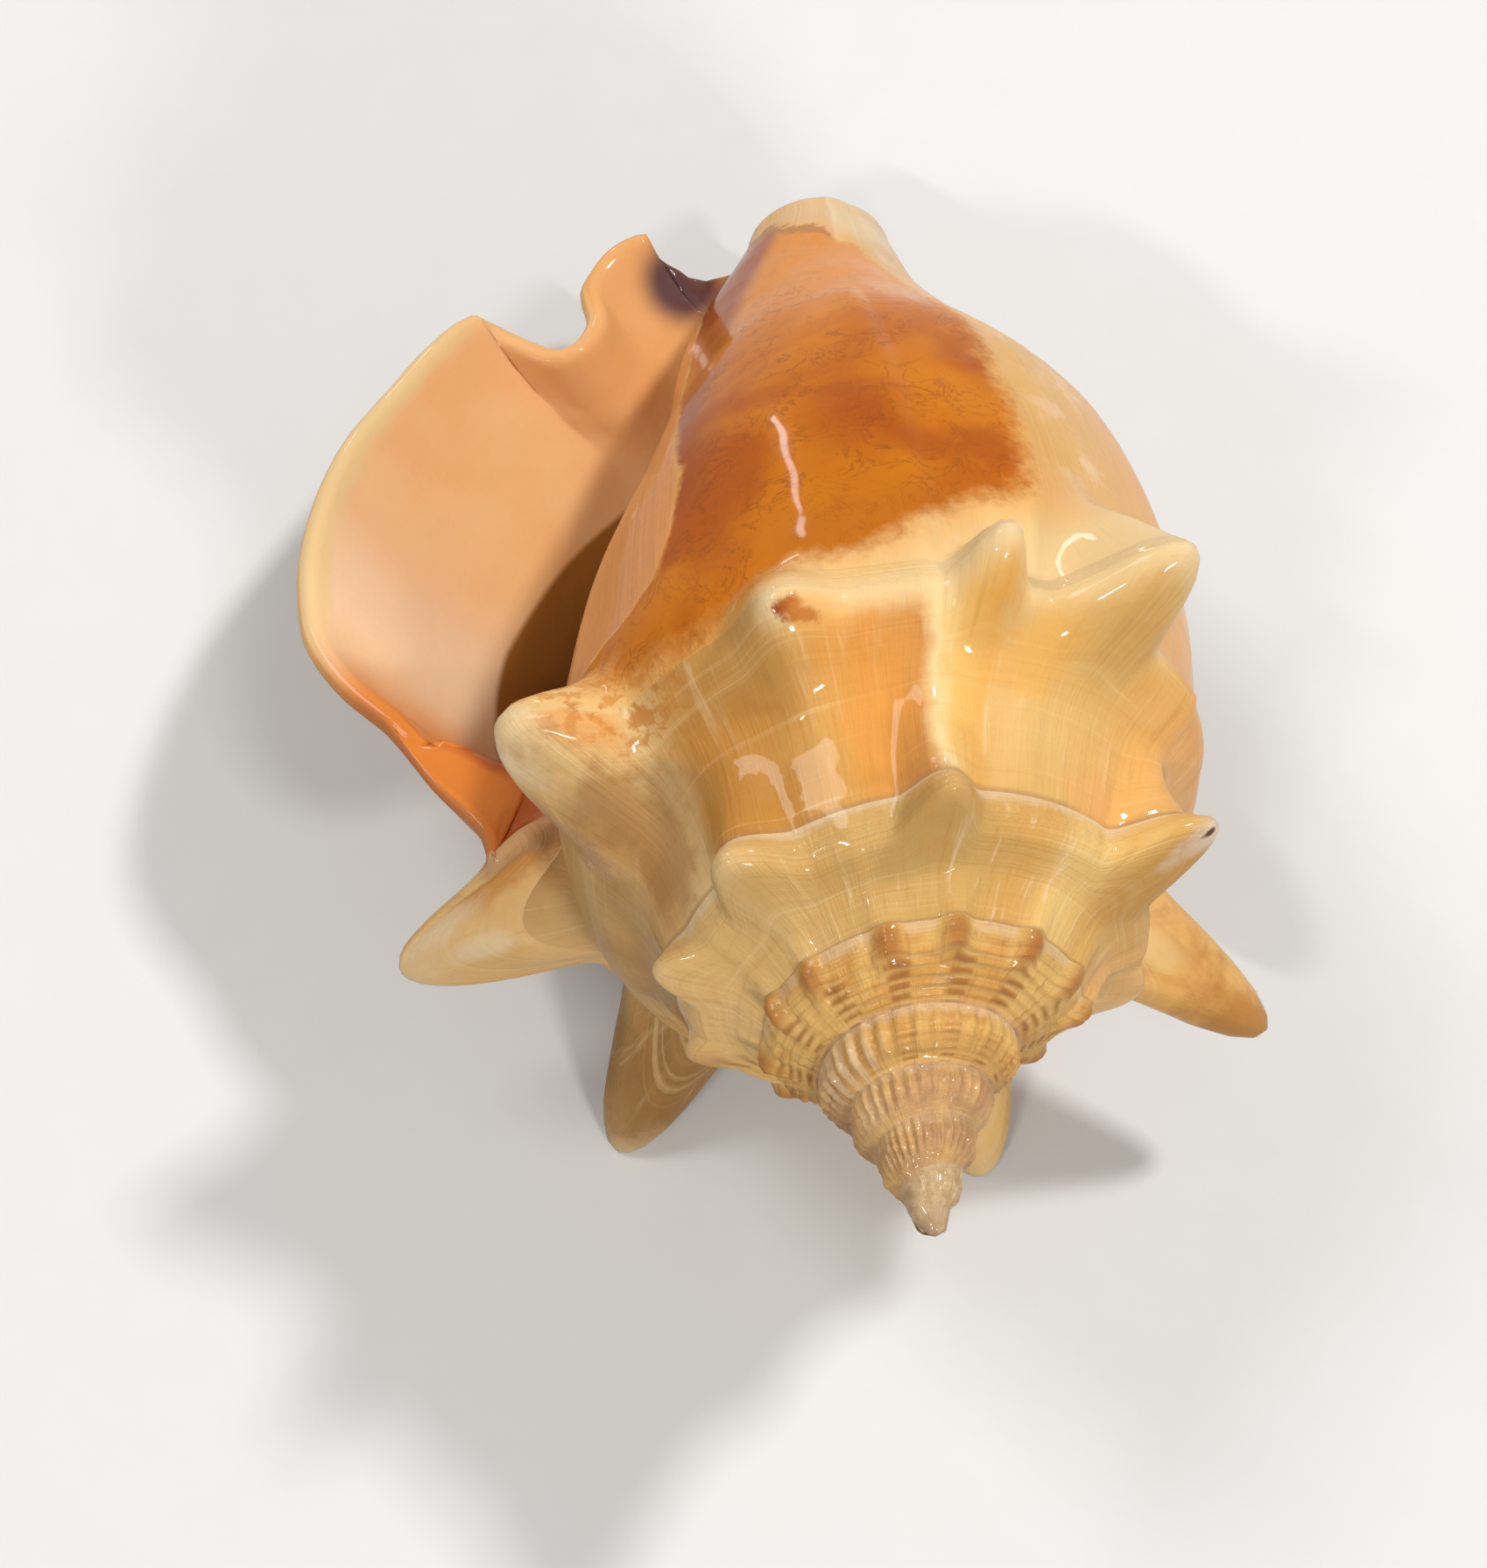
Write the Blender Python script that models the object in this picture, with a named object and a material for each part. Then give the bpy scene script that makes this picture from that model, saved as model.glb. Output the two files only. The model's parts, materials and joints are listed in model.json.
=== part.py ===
"""Fighting conch shell: one natural piece, built as one closed surface.

The shell is a strip that winds down its axis. A place on it is given by two numbers: turn (0 at the
outer lip, counting back to -7 at the tip of the spire) and row (0 at the suture above, 1 at the shoulder,
2 where the next whorl takes over or the side wall starts, 3 at the front end). Profiles are (radius, depth)
in millimetres, where depth runs along the axis from the tip of the spire to the front end.
"""

import math

import bmesh
import bpy
import numpy as np
from mathutils import Matrix

MM = 0.001

# Overall size and how it rests
LENGTH = 90.0                     # tip of the spire to the front end
REST_LEAN = math.radians(17.34)   # how far the axis rises toward the spire
REST_ROLL = math.radians(7.52)   # how far the lip side hangs down
WORN_FLAT = 0.25                  # depth worn off where it rests: two spines and the back

# Wall
WALL = 1.9
LIP_THICKNESS = 1.7
HOLLOW_TURNS = 0.75               # how far the hollow is followed in from the lip
CEILING = 0.12                    # row step from the suture to the roof of the hollow
UNDER_RAMP = 0.45                 # row where the inner surface leaves the roof

# (turn, radius, depth) of the suture and of the shoulder
SUTURE = [(-7, 0.6, 0.6), (-6, 1.6, 2.9), (-5, 2.7, 5.6), (-4, 3.9, 8.3), (-3, 5.4, 11.1),
          (-2, 8.3, 14.4), (-1.5, 10.9, 15.9), (-1, 13.2, 18.4), (-0.75, 15.0, 20.0),
          (-0.5, 15.8, 22.3), (-0.25, 17.8, 24.8), (-0.14, 18.2, 27.2), (-0.07, 18.7, 30.6),
          (0, 19.4, 34.3)]
SHOULDER = [(-7, 1.35, 1.9), (-6, 2.5, 4.6), (-5, 3.8, 7.3), (-4, 5.4, 10.0), (-3, 7.9, 13.1),
            (-2.5, 10.1, 14.8), (-2, 12.2, 16.6), (-1.5, 15.8, 20.3), (-1.25, 16.8, 22.6),
            (-1, 17.9, 25.3), (-0.9, 19.5, 28.2), (-0.75, 21.4, 30.4), (-0.6, 21.8, 31.2),
            (-0.53, 21.3, 31.0), (-0.46, 20.2, 30.6), (-0.4, 20.4, 30.9), (-0.25, 22.3, 32.0),
            (0, 22.8, 33.0)]

# turn: (radius, depth) of the side wall, from just under the shoulder to the front end
SIDE = {
    -1.75: [(15.0, 20.0), (10.0, 27.0), (6.5, 36.0), (4.8, 46.0), (4.0, 56.0), (3.2, 66.0), (2.4, 74.0)],
    -1.5: [(15.8, 22.3), (13.0, 30.0), (9.0, 39.0), (6.3, 50.0), (4.9, 60.0), (4.0, 69.0), (2.8, 77.0)],
    -1.25: [(17.8, 24.8), (17.2, 31.0), (12.8, 40.0), (9.0, 50.0), (6.8, 61.0), (5.6, 71.0), (3.2, 80.0)],
    -1.0: [(19.4, 34.3), (18.6, 38.5), (16.8, 44.0), (12.9, 52.0), (10.2, 62.0), (9.4, 72.0), (5.3, 86.0)],
    -0.75: [(21.6, 32.2), (21.4, 38.5), (20.2, 48.0), (16.9, 58.5), (12.2, 68.0), (8.4, 77.0), (5.3, 86.0)],
    -0.5: [(20.8, 33.0), (22.1, 41.0), (21.5, 50.5), (19.4, 58.8), (13.8, 67.5), (8.5, 77.0), (5.3, 86.0)],
    -0.25: [(22.4, 34.0), (22.6, 41.0), (21.6, 51.0), (19.0, 60.5), (14.8, 69.5), (9.4, 78.0), (5.3, 86.0)],
    0.0: [(23.2, 34.5), (23.0, 42.0), (22.0, 52.0), (19.5, 62.0), (15.5, 71.0), (10.5, 79.0), (5.3, 86.0)],
}

# Edge of the outer lip as (x, y, depth): up the shoulder, then round the wing, the notch and the canal
LIP_EDGE = [(-19.4, 0.0, 34.3), (-21.8, 0.2, 32.9), (-24.1, -0.4, 31.4), (-25.0, 0.0, 33.9),
            (-27.6, 1.0, 36.9), (-30.7, 2.0, 41.8), (-33.6, 2.6, 45.0), (-35.4, 3.2, 48.4),
            (-35.8, 4.0, 52.5), (-35.1, 4.0, 59.0), (-33.0, 4.0, 65.4), (-29.0, 3.0, 72.8),
            (-26.7, 3.0, 76.0), (-22.6, 2.0, 80.0), (-18.9, 1.0, 78.2), (-16.9, 0.5, 77.4),
            (-15.3, 0.0, 79.8), (-15.4, 0.0, 83.8), (-12.6, 0.0, 87.1), (-10.1, -0.3, 87.7),
            (-7.4, -2.0, 85.6), (-5.6, -3.0, 84.8), (-3.6, -3.6, 85.6)]
LIP_MARKS = (0, 2, 3, 22)         # corners of the lip at rows 0, 1, 2 and 3
FLARE_TURNS = (0.10, 0.24)        # the flare starts this far back, at the shoulder and along the wing
FLARE_POWER = 2.0
FRONT_BEND = (2.9, -2.4)          # how far the front end swings aside
FRONT_BEND_DEPTHS = (62.0, 92.0)
BACK_FLAT = 0.32                  # how much the back of the spire is flattened
BACK_FLAT_DEPTHS = (14.0, 23.0)   # the flattening fades out between these depths

# Spines: turn, height, lean toward the spire, half width round the whorl, reach toward the suture, reach
# toward the front
SPINES = [(-0.911, 6.4, -1.8, 5.8, 6.4, 7.4), (-0.782, 2.8, 1.0, 4.2, 7.0, 3.8),
          (-0.692, 4.6, -0.4, 4.4, 6.8, 4.0), (-0.629, 7.0, -0.2, 4.6, 4.6, 11.0),
          (-0.387, 12.4, 5.0, 4.6, 8.2, 4.0), (-0.277, 9.9, 7.8, 6.0, 7.0, 5.2),
          (-0.152, 10.6, 5.8, 5.4, 7.2, 5.6), (-0.053, 10.0, 1.2, 7.2, 8.0, 2.4),
          (-1.552, 5.6, -1.7, 3.7, 3.2, 5.0), (-1.714, 3.9, 0.3, 4.2, 3.9, 4.4),
          (-1.842, 3.9, 0.4, 3.9, 3.7, 4.4), (-1.944, 2.5, 0.0, 3.0, 3.0, 3.2),
          (-2.05, 1.6, 0.0, 2.6, 2.6, 2.8), (-1.42, 1.4, 0.2, 4.0, 3.4, 3.4),
          (-1.29, 0.9, 0.2, 4.0, 3.4, 3.4), (-1.17, 0.7, 0.2, 3.6, 3.0, 3.0)]
SPINE_POINT, SPINE_TAPER = 2.0, 2.3
KNOB_FIRST, KNOBS_PER_TURN, KNOB_COUNT = -2.15, 13, 14
KNOB_HEIGHT, KNOB_WIDTH, KNOB_REACH = 1.2, 1.8, 2.3

# Mesh density
STEPS_PER_TURN = 56
SPIRE_TURNS = 7
RAMP_STEPS = 7
COARSER_RAMPS = {-2: (0, 2, 4, 6, 7), -4: (0, 4, 7)}   # steps kept on whorls older than this turn
NECK_STEPS = 3
SIDE_STEPS, NOTCH_STEPS, NOTCH_ROW = 8, 8, 2.654
FRONT_RINGS = 2


def through(knots, values, at):
    """A smooth curve through the values at the knots, read at any number of places."""
    knots = np.asarray(knots, float)
    values = np.asarray(values, float).reshape(len(knots), -1)
    at = np.asarray(at, float)
    flat = np.clip(at.ravel(), knots[0], knots[-1])
    gap = np.diff(knots)[:, None]
    slope = np.diff(values, axis=0) / gap
    tangent = np.empty_like(values)
    tangent[1:-1] = (slope[:-1] * gap[1:] + slope[1:] * gap[:-1]) / (gap[1:] + gap[:-1])
    tangent[0], tangent[-1] = slope[0], slope[-1]
    i = np.clip(np.searchsorted(knots, flat, side="right") - 1, 0, len(knots) - 2)
    h = (knots[i + 1] - knots[i])[:, None]
    u = (flat - knots[i])[:, None] / h
    out = ((2 * u**3 - 3 * u**2 + 1) * values[i] + (u**3 - 2 * u**2 + u) * h * tangent[i]
           + (-2 * u**3 + 3 * u**2) * values[i + 1] + (u**3 - u**2) * h * tangent[i + 1])
    return out.reshape(at.shape + (values.shape[1],))


def ease(low, high, x):
    u = np.clip((x - low) / (high - low), 0, 1)
    return u * u * (3 - 2 * u)


def table(rows, turn):
    rows = np.array(rows, float)
    return through(rows[:, 0], rows[:, 1:], turn)


def side_wall(turn):
    turns = sorted(SIDE)
    rows = np.array([SIDE[t] for t in turns], float)
    return through(turns, rows.reshape(len(turns), -1), turn).reshape(np.shape(turn) + (7, 2))


def profile(turn, row):
    """(radius, depth) of the plain whorl, without spines and without the flare of the lip."""
    suture, shoulder = table(SUTURE, turn), table(SHOULDER, turn)
    side = side_wall(np.maximum(turn, -1.75))
    under = np.where((turn <= -1)[..., None], table(SUTURE, turn + 1), side[..., 0, :])
    along = shoulder - suture
    square = np.stack([-along[..., 1], along[..., 0]], -1)
    late = ease(-3.2, -1.8, turn)
    middle = suture + 0.5 * along + square * (0.085 * late - 0.10 * (1 - late))[..., None]
    points = np.concatenate([np.stack([suture, middle, shoulder, under], -2), side[..., 1:, :]], -2)
    knots = np.array([0, 0.5, 1, 2] + [2 + i / 6 for i in range(1, 7)])
    i = np.clip(np.searchsorted(knots, row, side="right") - 1, 0, 8)

    def point(j):
        return np.take_along_axis(points, np.clip(j, 0, 9)[..., None, None], -2)[..., 0, :]

    before, a, b, after = point(i - 1), point(i), point(i + 1), point(i + 2)
    u = ((row - knots[i]) / (knots[np.minimum(i + 1, 9)] - knots[i]))[..., None]
    l0, l1, l2 = (np.linalg.norm(q - p, axis=-1, keepdims=True) + 1e-6
                  for p, q in ((before, a), (a, b), (b, after)))
    start = ((a - before) / l0 * l1 + (b - a) / l1 * l0) / (l0 + l1) * l1
    end = ((b - a) / l1 * l2 + (after - b) / l2 * l1) / (l1 + l2) * l1
    start = np.where((i == 0)[..., None], b - a, start)
    end = np.where((i == 8)[..., None], b - a, end)
    return ((2 * u**3 - 3 * u**2 + 1) * a + (u**3 - 2 * u**2 + u) * start
            + (-2 * u**3 + 3 * u**2) * b + (u**3 - u**2) * end)


def all_spines():
    knobs = [(KNOB_FIRST - i / KNOBS_PER_TURN, KNOB_HEIGHT - 0.05 * i, 0.1, KNOB_WIDTH - 0.055 * i,
              KNOB_REACH - 0.07 * i, KNOB_WIDTH - 0.05 * i) for i in range(KNOB_COUNT)]
    return SPINES + knobs


def spine_shift(turn, place):
    """How far the spines push each (radius, depth) place out."""
    shift = np.zeros(place.shape)
    for at, height, lean, width, back, front in all_spines():
        near = np.abs(turn - at) < 0.2
        if not near.any():
            continue
        round_whorl = 2 * math.pi * (turn[near] - at) * table(SHOULDER, np.array(at))[0]
        off = place[near] - table(SHOULDER, turn[near])
        reach = np.where(off[:, 1] < 0, back, front)
        far = np.sqrt((round_whorl / width) ** 2 + (np.linalg.norm(off, axis=-1) / reach) ** 2)
        rise = (1 - np.minimum(far, 1) ** SPINE_POINT) ** SPINE_TAPER
        shift[near] += rise[:, None] * np.array([height, -lean])
    return shift


def swing(point):
    amount = ease(*FRONT_BEND_DEPTHS, point[..., 2])
    return point + amount[..., None] * np.array([FRONT_BEND[0], FRONT_BEND[1], 0])


def round_axis(turn, place):
    angle = math.pi - 2 * math.pi * turn
    y = place[..., 0] * np.sin(angle)
    flat = BACK_FLAT * (1 - ease(*BACK_FLAT_DEPTHS, place[..., 1]))
    return np.stack([place[..., 0] * np.cos(angle), y + flat * np.maximum(-y, 0), place[..., 1]], -1)


def lip_edge(row):
    edge = np.array(LIP_EDGE, float)
    run = np.r_[0, np.cumsum(np.linalg.norm(np.diff(edge, axis=0), axis=1))]
    return through(run, edge, np.interp(row, range(4), run[list(LIP_MARKS)]))


def outside(turn, row, spines=True):
    """The outer surface as (x, y, depth)."""
    turn, row = np.broadcast_arrays(np.asarray(turn, float), np.asarray(row, float))
    place = profile(turn, row)
    if spines:
        flat = place.reshape(-1, 2)
        own = spine_shift(turn.ravel(), flat)
        above = np.maximum(turn.ravel() - 1, -SPIRE_TURNS)
        earlier = spine_shift(above, profile(above, np.full(above.shape, 2.0)))
        hold = ((1 - np.clip(row, 0, 1)) ** 2 * (turn > 1 - SPIRE_TURNS))[..., None]
        place = place + own.reshape(place.shape) + earlier.reshape(place.shape) * hold
    point = swing(round_axis(turn, place))
    lip = np.zeros_like(turn)
    start = FLARE_TURNS[0] + (FLARE_TURNS[1] - FLARE_TURNS[0]) * ease(1.9, 2.7, row)
    flare = np.clip(1 + turn / start, 0, 1) ** FLARE_POWER
    return point + flare[..., None] * (lip_edge(row) - swing(round_axis(lip, profile(lip, row))))


# --- mesh

def inside(turn, row, thickness):
    """The inner surface: the plain outer surface moved inward by the wall."""
    step = 1e-3
    back, on = np.minimum(turn, -2 * step), np.clip(row, 2 * step, 3 - 2 * step)
    along = outside(back + step, on, False) - outside(back - step, on, False)
    down = outside(back, on + step, False) - outside(back, on - step, False)
    square = np.cross(down, along)
    square /= np.linalg.norm(square, axis=-1, keepdims=True)
    return outside(turn, row, False) - square * thickness[..., None]


def turn_steps():
    """Places within a turn, with one at each large spine."""
    marks = [0.0, 1 - HOLLOW_TURNS, 1.0]
    for at in [s[0] % 1 for s in SPINES]:
        if min(abs(at - m) for m in marks) > 0.018:
            marks.append(at)
    marks.sort()
    steps = []
    for a, b in zip(marks, marks[1:]):
        count = max(1, round((b - a) * STEPS_PER_TURN))
        steps += [a + (b - a) * i / count for i in range(count)]
    return np.array(steps)


def ladder(left, right, points, faces):
    """Triangles between two lines of corners, joining the nearer corner each time."""
    i = j = 0
    while i < len(left) - 1 or j < len(right) - 1:
        step_left = j == len(right) - 1
        if not step_left and i < len(left) - 1:
            step_left = (np.linalg.norm(points[left[i + 1]] - points[right[j]])
                         < np.linalg.norm(points[left[i]] - points[right[j + 1]]))
        corner = left[i + 1] if step_left else right[j + 1]
        face = [left[i], right[j], corner]
        if len(set(face)) == 3:
            faces.append(face)
        i, j = (i + 1, j) if step_left else (i, j + 1)


def shell_mesh():
    places = turn_steps()
    per_turn = len(places)
    turns = np.concatenate([places + k for k in range(-SPIRE_TURNS, 0)] + [[0.0]])
    ramp = np.linspace(0, 1, RAMP_STEPS + 1)
    neck = np.linspace(2, 2 + CEILING, NECK_STEPS + 1)
    side = np.concatenate([np.linspace(neck[-1], NOTCH_ROW, SIDE_STEPS + 1)[1:],
                           np.linspace(NOTCH_ROW, 3, NOTCH_STEPS + 1)[1:]])
    rows = np.concatenate([ramp, neck, side])
    suture, roof = RAMP_STEPS + 1, RAMP_STEPS + 1 + NECK_STEPS
    front, lip = len(rows) - 1, len(turns) - 1
    body = lip - per_turn
    hollow = int(np.argmin(np.abs(turns + HOLLOW_TURNS)))
    points, index = [], {}

    def corner(key, place):
        index[key] = len(points)
        points.append(place)

    def kept(i):
        """Rows with a corner on the ramp at this step: fewer on the small old whorls."""
        few = [steps for turn, steps in sorted(COARSER_RAMPS.items()) if turns[i] < turn - 1e-6]
        return list(few[0] if few else range(RAMP_STEPS + 1))

    outer = outside(turns[:, None], rows[None, :])
    for i in range(lip + 1):
        for j in kept(i):
            corner((i, j), outer[i, j])
        if i > body:
            for j in range(suture, roof):
                corner((i, j), outer[i, j])
        if i >= hollow - per_turn:
            for j in range(roof, front + 1):
                corner((i, j), outer[i, j])
    for i in range(body + 1):
        index[i, suture] = index[i + per_turn, 0]
    for j in range(suture + 1, roof):
        corner((body, j), outer[body, j])

    inner_rows = np.concatenate([np.linspace(UNDER_RAMP, 1, 4), neck[[0, -1]], side])
    across = np.broadcast_to(inner_rows, (lip + 1 - hollow, len(inner_rows)))
    along = np.broadcast_to(turns[hollow:, None], across.shape)
    sheet = inside(along, across, WALL + (LIP_THICKNESS - WALL) * ease(-0.2, 0, along))
    to_roof = (1 - ease(UNDER_RAMP, 0.9, across))[..., None]
    to_front = ease(2.8, 3.0, across)[..., None]
    sheet = (sheet + to_roof * (outer[hollow - per_turn:body + 1, roof] - sheet[:, 0])[:, None]
             + to_front * (outer[hollow - per_turn:body + 1, front] - sheet[:, -1])[:, None])
    inner_front = len(inner_rows) - 1
    for i in range(hollow, lip + 1):
        for j in range(1, inner_front):
            corner(("in", i, j), sheet[i - hollow, j])
        index["in", i, 0] = index[i - per_turn, roof]
        index["in", i, inner_front] = index[i - per_turn, front]

    spots = np.array(points)
    faces = []

    def strip(i, first, last, key=()):
        for j in range(first, last):
            faces.append([index[key + (i, j)], index[key + (i + 1, j)],
                          index[key + (i + 1, j + 1)], index[key + (i, j + 1)]])

    for i in range(lip):
        if kept(i) == kept(i + 1) == list(range(RAMP_STEPS + 1)):
            strip(i, 0, suture)
        else:
            ladder([index[i, j] for j in kept(i) + [suture]],
                   [index[i + 1, j] for j in kept(i + 1) + [suture]], spots, faces)
        if i >= body:
            strip(i, suture, front)
        elif i >= hollow - per_turn:
            strip(i, roof, front)
    for i in range(hollow, lip):
        for j in range(inner_front):
            faces.append([index["in", i, j], index["in", i, j + 1],
                          index["in", i + 1, j + 1], index["in", i + 1, j]])
    ladder([index[lip, j] for j in range(front + 1)],
           [index[body, j] for j in range(suture, roof)]
           + [index["in", lip, j] for j in range(inner_front + 1)], spots, faces)
    ladder([index["in", hollow, j] for j in range(inner_front + 1)],
           [index[hollow - per_turn, j] for j in range(roof, front + 1)], spots, faces)

    # The front end: rings that close to a blunt tip
    first = ring = [index[i, front] for i in range(body, lip + 1)]
    middle = spots[first].mean(axis=0)
    for k in range(1, FRONT_RINGS + 1):
        turn = k / (FRONT_RINGS + 1) * math.pi / 2
        inward = [len(points) + n for n in range(len(ring))]
        for spot in spots[first]:
            place = middle + (spot - middle) * math.cos(turn)
            place[2] = spot[2] + (LENGTH - spot[2]) * math.sin(turn)
            points.append(place)
        for n in range(len(ring)):
            m = (n + 1) % len(ring)
            faces.append([ring[n], ring[m], inward[m], inward[n]])
        ring = inward
    points.append(np.array([middle[0], middle[1], LENGTH]))
    faces += [[ring[n], ring[(n + 1) % len(ring)], len(points) - 1] for n in range(len(ring))]

    # The tip of the spire
    loop = ([index[i, 0] for i in range(per_turn + 1)] + [index[0, j] for j in kept(0)[:0:-1]])
    points.append(np.array([0.0, 0.0, 0.0]))
    faces += [[loop[n], loop[(n + 1) % len(loop)], len(points) - 1][::-1] for n in range(len(loop))]
    return np.array(points), faces


def at_rest(points):
    """The shell laid on its back: x to the right, y from the spire to the front end, z up, in metres."""
    up = np.array([math.sin(REST_ROLL), math.cos(REST_ROLL) * math.cos(REST_LEAN),
                   math.cos(REST_ROLL) * math.sin(REST_LEAN)])
    ahead = np.array([0.0, 0.0, -1.0]) - up * -up[2]
    ahead /= np.linalg.norm(ahead)
    return (points * [1, 1, -1]) @ np.stack([np.cross(ahead, up), ahead, up], 1) * MM


def wear_flats(mesh):
    """Cuts the lowest points off level, so that it rests on small worn flats."""
    form = bmesh.new()
    form.from_mesh(mesh)
    everything = form.verts[:] + form.edges[:] + form.faces[:]
    floor = min(v.co.z for v in form.verts) + WORN_FLAT * MM
    bmesh.ops.bisect_plane(form, geom=everything, plane_co=(0, 0, floor), plane_no=(0, 0, 1),
                           clear_inner=True)
    bmesh.ops.holes_fill(form, edges=[e for e in form.edges if e.is_boundary], sides=0)
    form.to_mesh(mesh)
    form.free()
    return floor


def shell_material():
    material = bpy.data.materials.new("shell")
    material.use_nodes = True
    surface = material.node_tree.nodes["Principled BSDF"]
    surface.inputs["Base Color"].default_value = (0.72, 0.45, 0.22, 1)
    surface.inputs["Roughness"].default_value = 0.25
    return material


def main():
    for thing in list(bpy.data.objects):
        bpy.data.objects.remove(thing, do_unlink=True)
    points, faces = shell_mesh()
    mesh = bpy.data.meshes.new("shell")
    mesh.from_pydata(at_rest(points).tolist(), [], faces)
    floor = wear_flats(mesh)
    low, high = (np.array([f(v.co[k] for v in mesh.vertices) for k in range(3)]) for f in (min, max))
    middle = (low + high) / 2
    mesh.transform(Matrix.Translation((-middle[0], -middle[1], -floor)))
    mesh.materials.append(shell_material())
    shell = bpy.data.objects.new("shell", mesh)
    bpy.context.scene.collection.objects.link(shell)


main()
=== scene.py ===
"""Fighting conch shell: the fine visual mesh, its materials, the floor, the lamps and the camera.

The shell is a strip that winds down its axis, as in the CAD. A place on it is given by two numbers: turn
(0 at the outer lip, counting back to -7 at the tip of the spire) and row (0 at the suture above, 1 at the
shoulder, 2 where the next whorl takes over or the side wall starts, 3 at the front end). Profiles are
(radius, depth) in millimetres; depth runs along the axis from the tip of the spire to the front end.
The spines of the last whorl are counted from the one beside the aperture.
"""

import json
import math

import bpy
import numpy as np
from mathutils import Matrix, Vector

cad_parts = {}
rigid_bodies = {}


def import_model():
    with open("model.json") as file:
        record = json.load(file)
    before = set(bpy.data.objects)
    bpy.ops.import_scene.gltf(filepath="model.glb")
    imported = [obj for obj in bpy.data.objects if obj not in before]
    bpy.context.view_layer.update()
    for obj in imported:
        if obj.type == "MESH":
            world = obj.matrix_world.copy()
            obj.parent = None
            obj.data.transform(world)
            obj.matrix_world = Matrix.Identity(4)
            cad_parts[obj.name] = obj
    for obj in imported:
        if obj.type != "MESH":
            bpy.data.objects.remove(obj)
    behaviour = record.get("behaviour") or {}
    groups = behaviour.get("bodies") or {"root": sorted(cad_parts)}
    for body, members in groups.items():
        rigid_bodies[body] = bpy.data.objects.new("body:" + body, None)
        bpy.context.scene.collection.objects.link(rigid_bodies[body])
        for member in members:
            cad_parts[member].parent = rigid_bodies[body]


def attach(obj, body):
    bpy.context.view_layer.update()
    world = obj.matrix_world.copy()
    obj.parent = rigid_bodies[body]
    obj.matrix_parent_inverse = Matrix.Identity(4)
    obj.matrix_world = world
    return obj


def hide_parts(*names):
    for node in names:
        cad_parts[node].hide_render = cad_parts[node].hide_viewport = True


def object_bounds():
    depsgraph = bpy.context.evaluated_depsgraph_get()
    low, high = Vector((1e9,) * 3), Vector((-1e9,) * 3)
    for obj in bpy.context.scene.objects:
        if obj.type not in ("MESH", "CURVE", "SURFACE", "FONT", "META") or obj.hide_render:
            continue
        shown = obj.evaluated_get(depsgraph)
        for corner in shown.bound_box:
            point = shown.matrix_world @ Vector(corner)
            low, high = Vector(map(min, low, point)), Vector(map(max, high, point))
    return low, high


MM = 0.001
ROUND = 2 * math.pi

# --- the CAD's form
LENGTH = 90.0
REST_LEAN = math.radians(17.34)  # how far the axis rises toward the spire
REST_ROLL = math.radians(7.52)  # how far the lip side hangs down
WALL = 1.9
LIP_THICKNESS = 1.7
HOLLOW_TURNS = 0.75  # how far the hollow is followed in from the lip
CEILING = 0.12  # row step from the suture to the roof of the hollow
UNDER_RAMP = 0.45  # row where the inner surface leaves the roof
SPIRE_TURNS = 7

# (turn, radius, depth) of the suture and of the shoulder
SUTURE = [(-7, 0.6, 0.6), (-6, 1.6, 2.9), (-5, 2.7, 5.6), (-4, 3.9, 8.3), (-3, 5.4, 11.1),
          (-2, 8.3, 14.4), (-1.5, 10.9, 15.9), (-1, 13.2, 18.4), (-0.75, 15, 20),
          (-0.5, 15.8, 22.3), (-0.25, 17.8, 24.8), (-0.14, 18.2, 27.2), (-0.07, 18.7, 30.6),
          (0, 19.4, 34.3)]
SHOULDER = [(-7, 1.35, 1.9), (-6, 2.5, 4.6), (-5, 3.8, 7.3), (-4, 5.4, 10), (-3, 7.9, 13.1),
            (-2.5, 10.1, 14.8), (-2, 12.2, 16.6), (-1.5, 15.8, 20.3), (-1.25, 16.8, 22.6),
            (-1, 17.9, 25.3), (-0.9, 19.5, 28.2), (-0.75, 21.4, 30.4), (-0.6, 21.8, 31.2),
            (-0.53, 21.3, 31), (-0.46, 20.2, 30.6), (-0.4, 20.4, 30.9), (-0.25, 22.3, 32),
            (0, 22.8, 33)]
RAMP_HOLLOW, RAMP_BULGE = -0.10, 0.085  # of the ramp's middle, on the old whorls and the last ones
RAMP_CHANGE = (-3.2, -1.8)  # turns over which the one becomes the other

# turn: (radius, depth) of the side wall, from just under the shoulder to the front end
SIDE = {
    -1.75: [(15, 20), (10, 27), (6.5, 36), (4.8, 46), (4, 56), (3.2, 66), (2.4, 74)],
    -1.5: [(15.8, 22.3), (13, 30), (9, 39), (6.3, 50), (4.9, 60), (4, 69), (2.8, 77)],
    -1.25: [(17.8, 24.8), (17.2, 31), (12.8, 40), (9, 50), (6.8, 61), (5.6, 71), (3.2, 80)],
    -1.0: [(19.4, 34.3), (18.6, 38.5), (16.8, 44), (12.9, 52), (10.2, 62), (9.4, 72), (5.3, 86)],
    -0.75: [(21.6, 32.2), (21.4, 38.5), (20.2, 48), (16.9, 58.5), (12.2, 68), (8.4, 77), (5.3, 86)],
    -0.5: [(20.8, 33), (22.1, 41), (21.5, 50.5), (19.4, 58.8), (13.8, 67.5), (8.5, 77), (5.3, 86)],
    -0.25: [(22.4, 34), (22.6, 41), (21.6, 51), (19, 60.5), (14.8, 69.5), (9.4, 78), (5.3, 86)],
    0.0: [(23.2, 34.5), (23, 42), (22, 52), (19.5, 62), (15.5, 71), (10.5, 79), (5.3, 86)],
}

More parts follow.
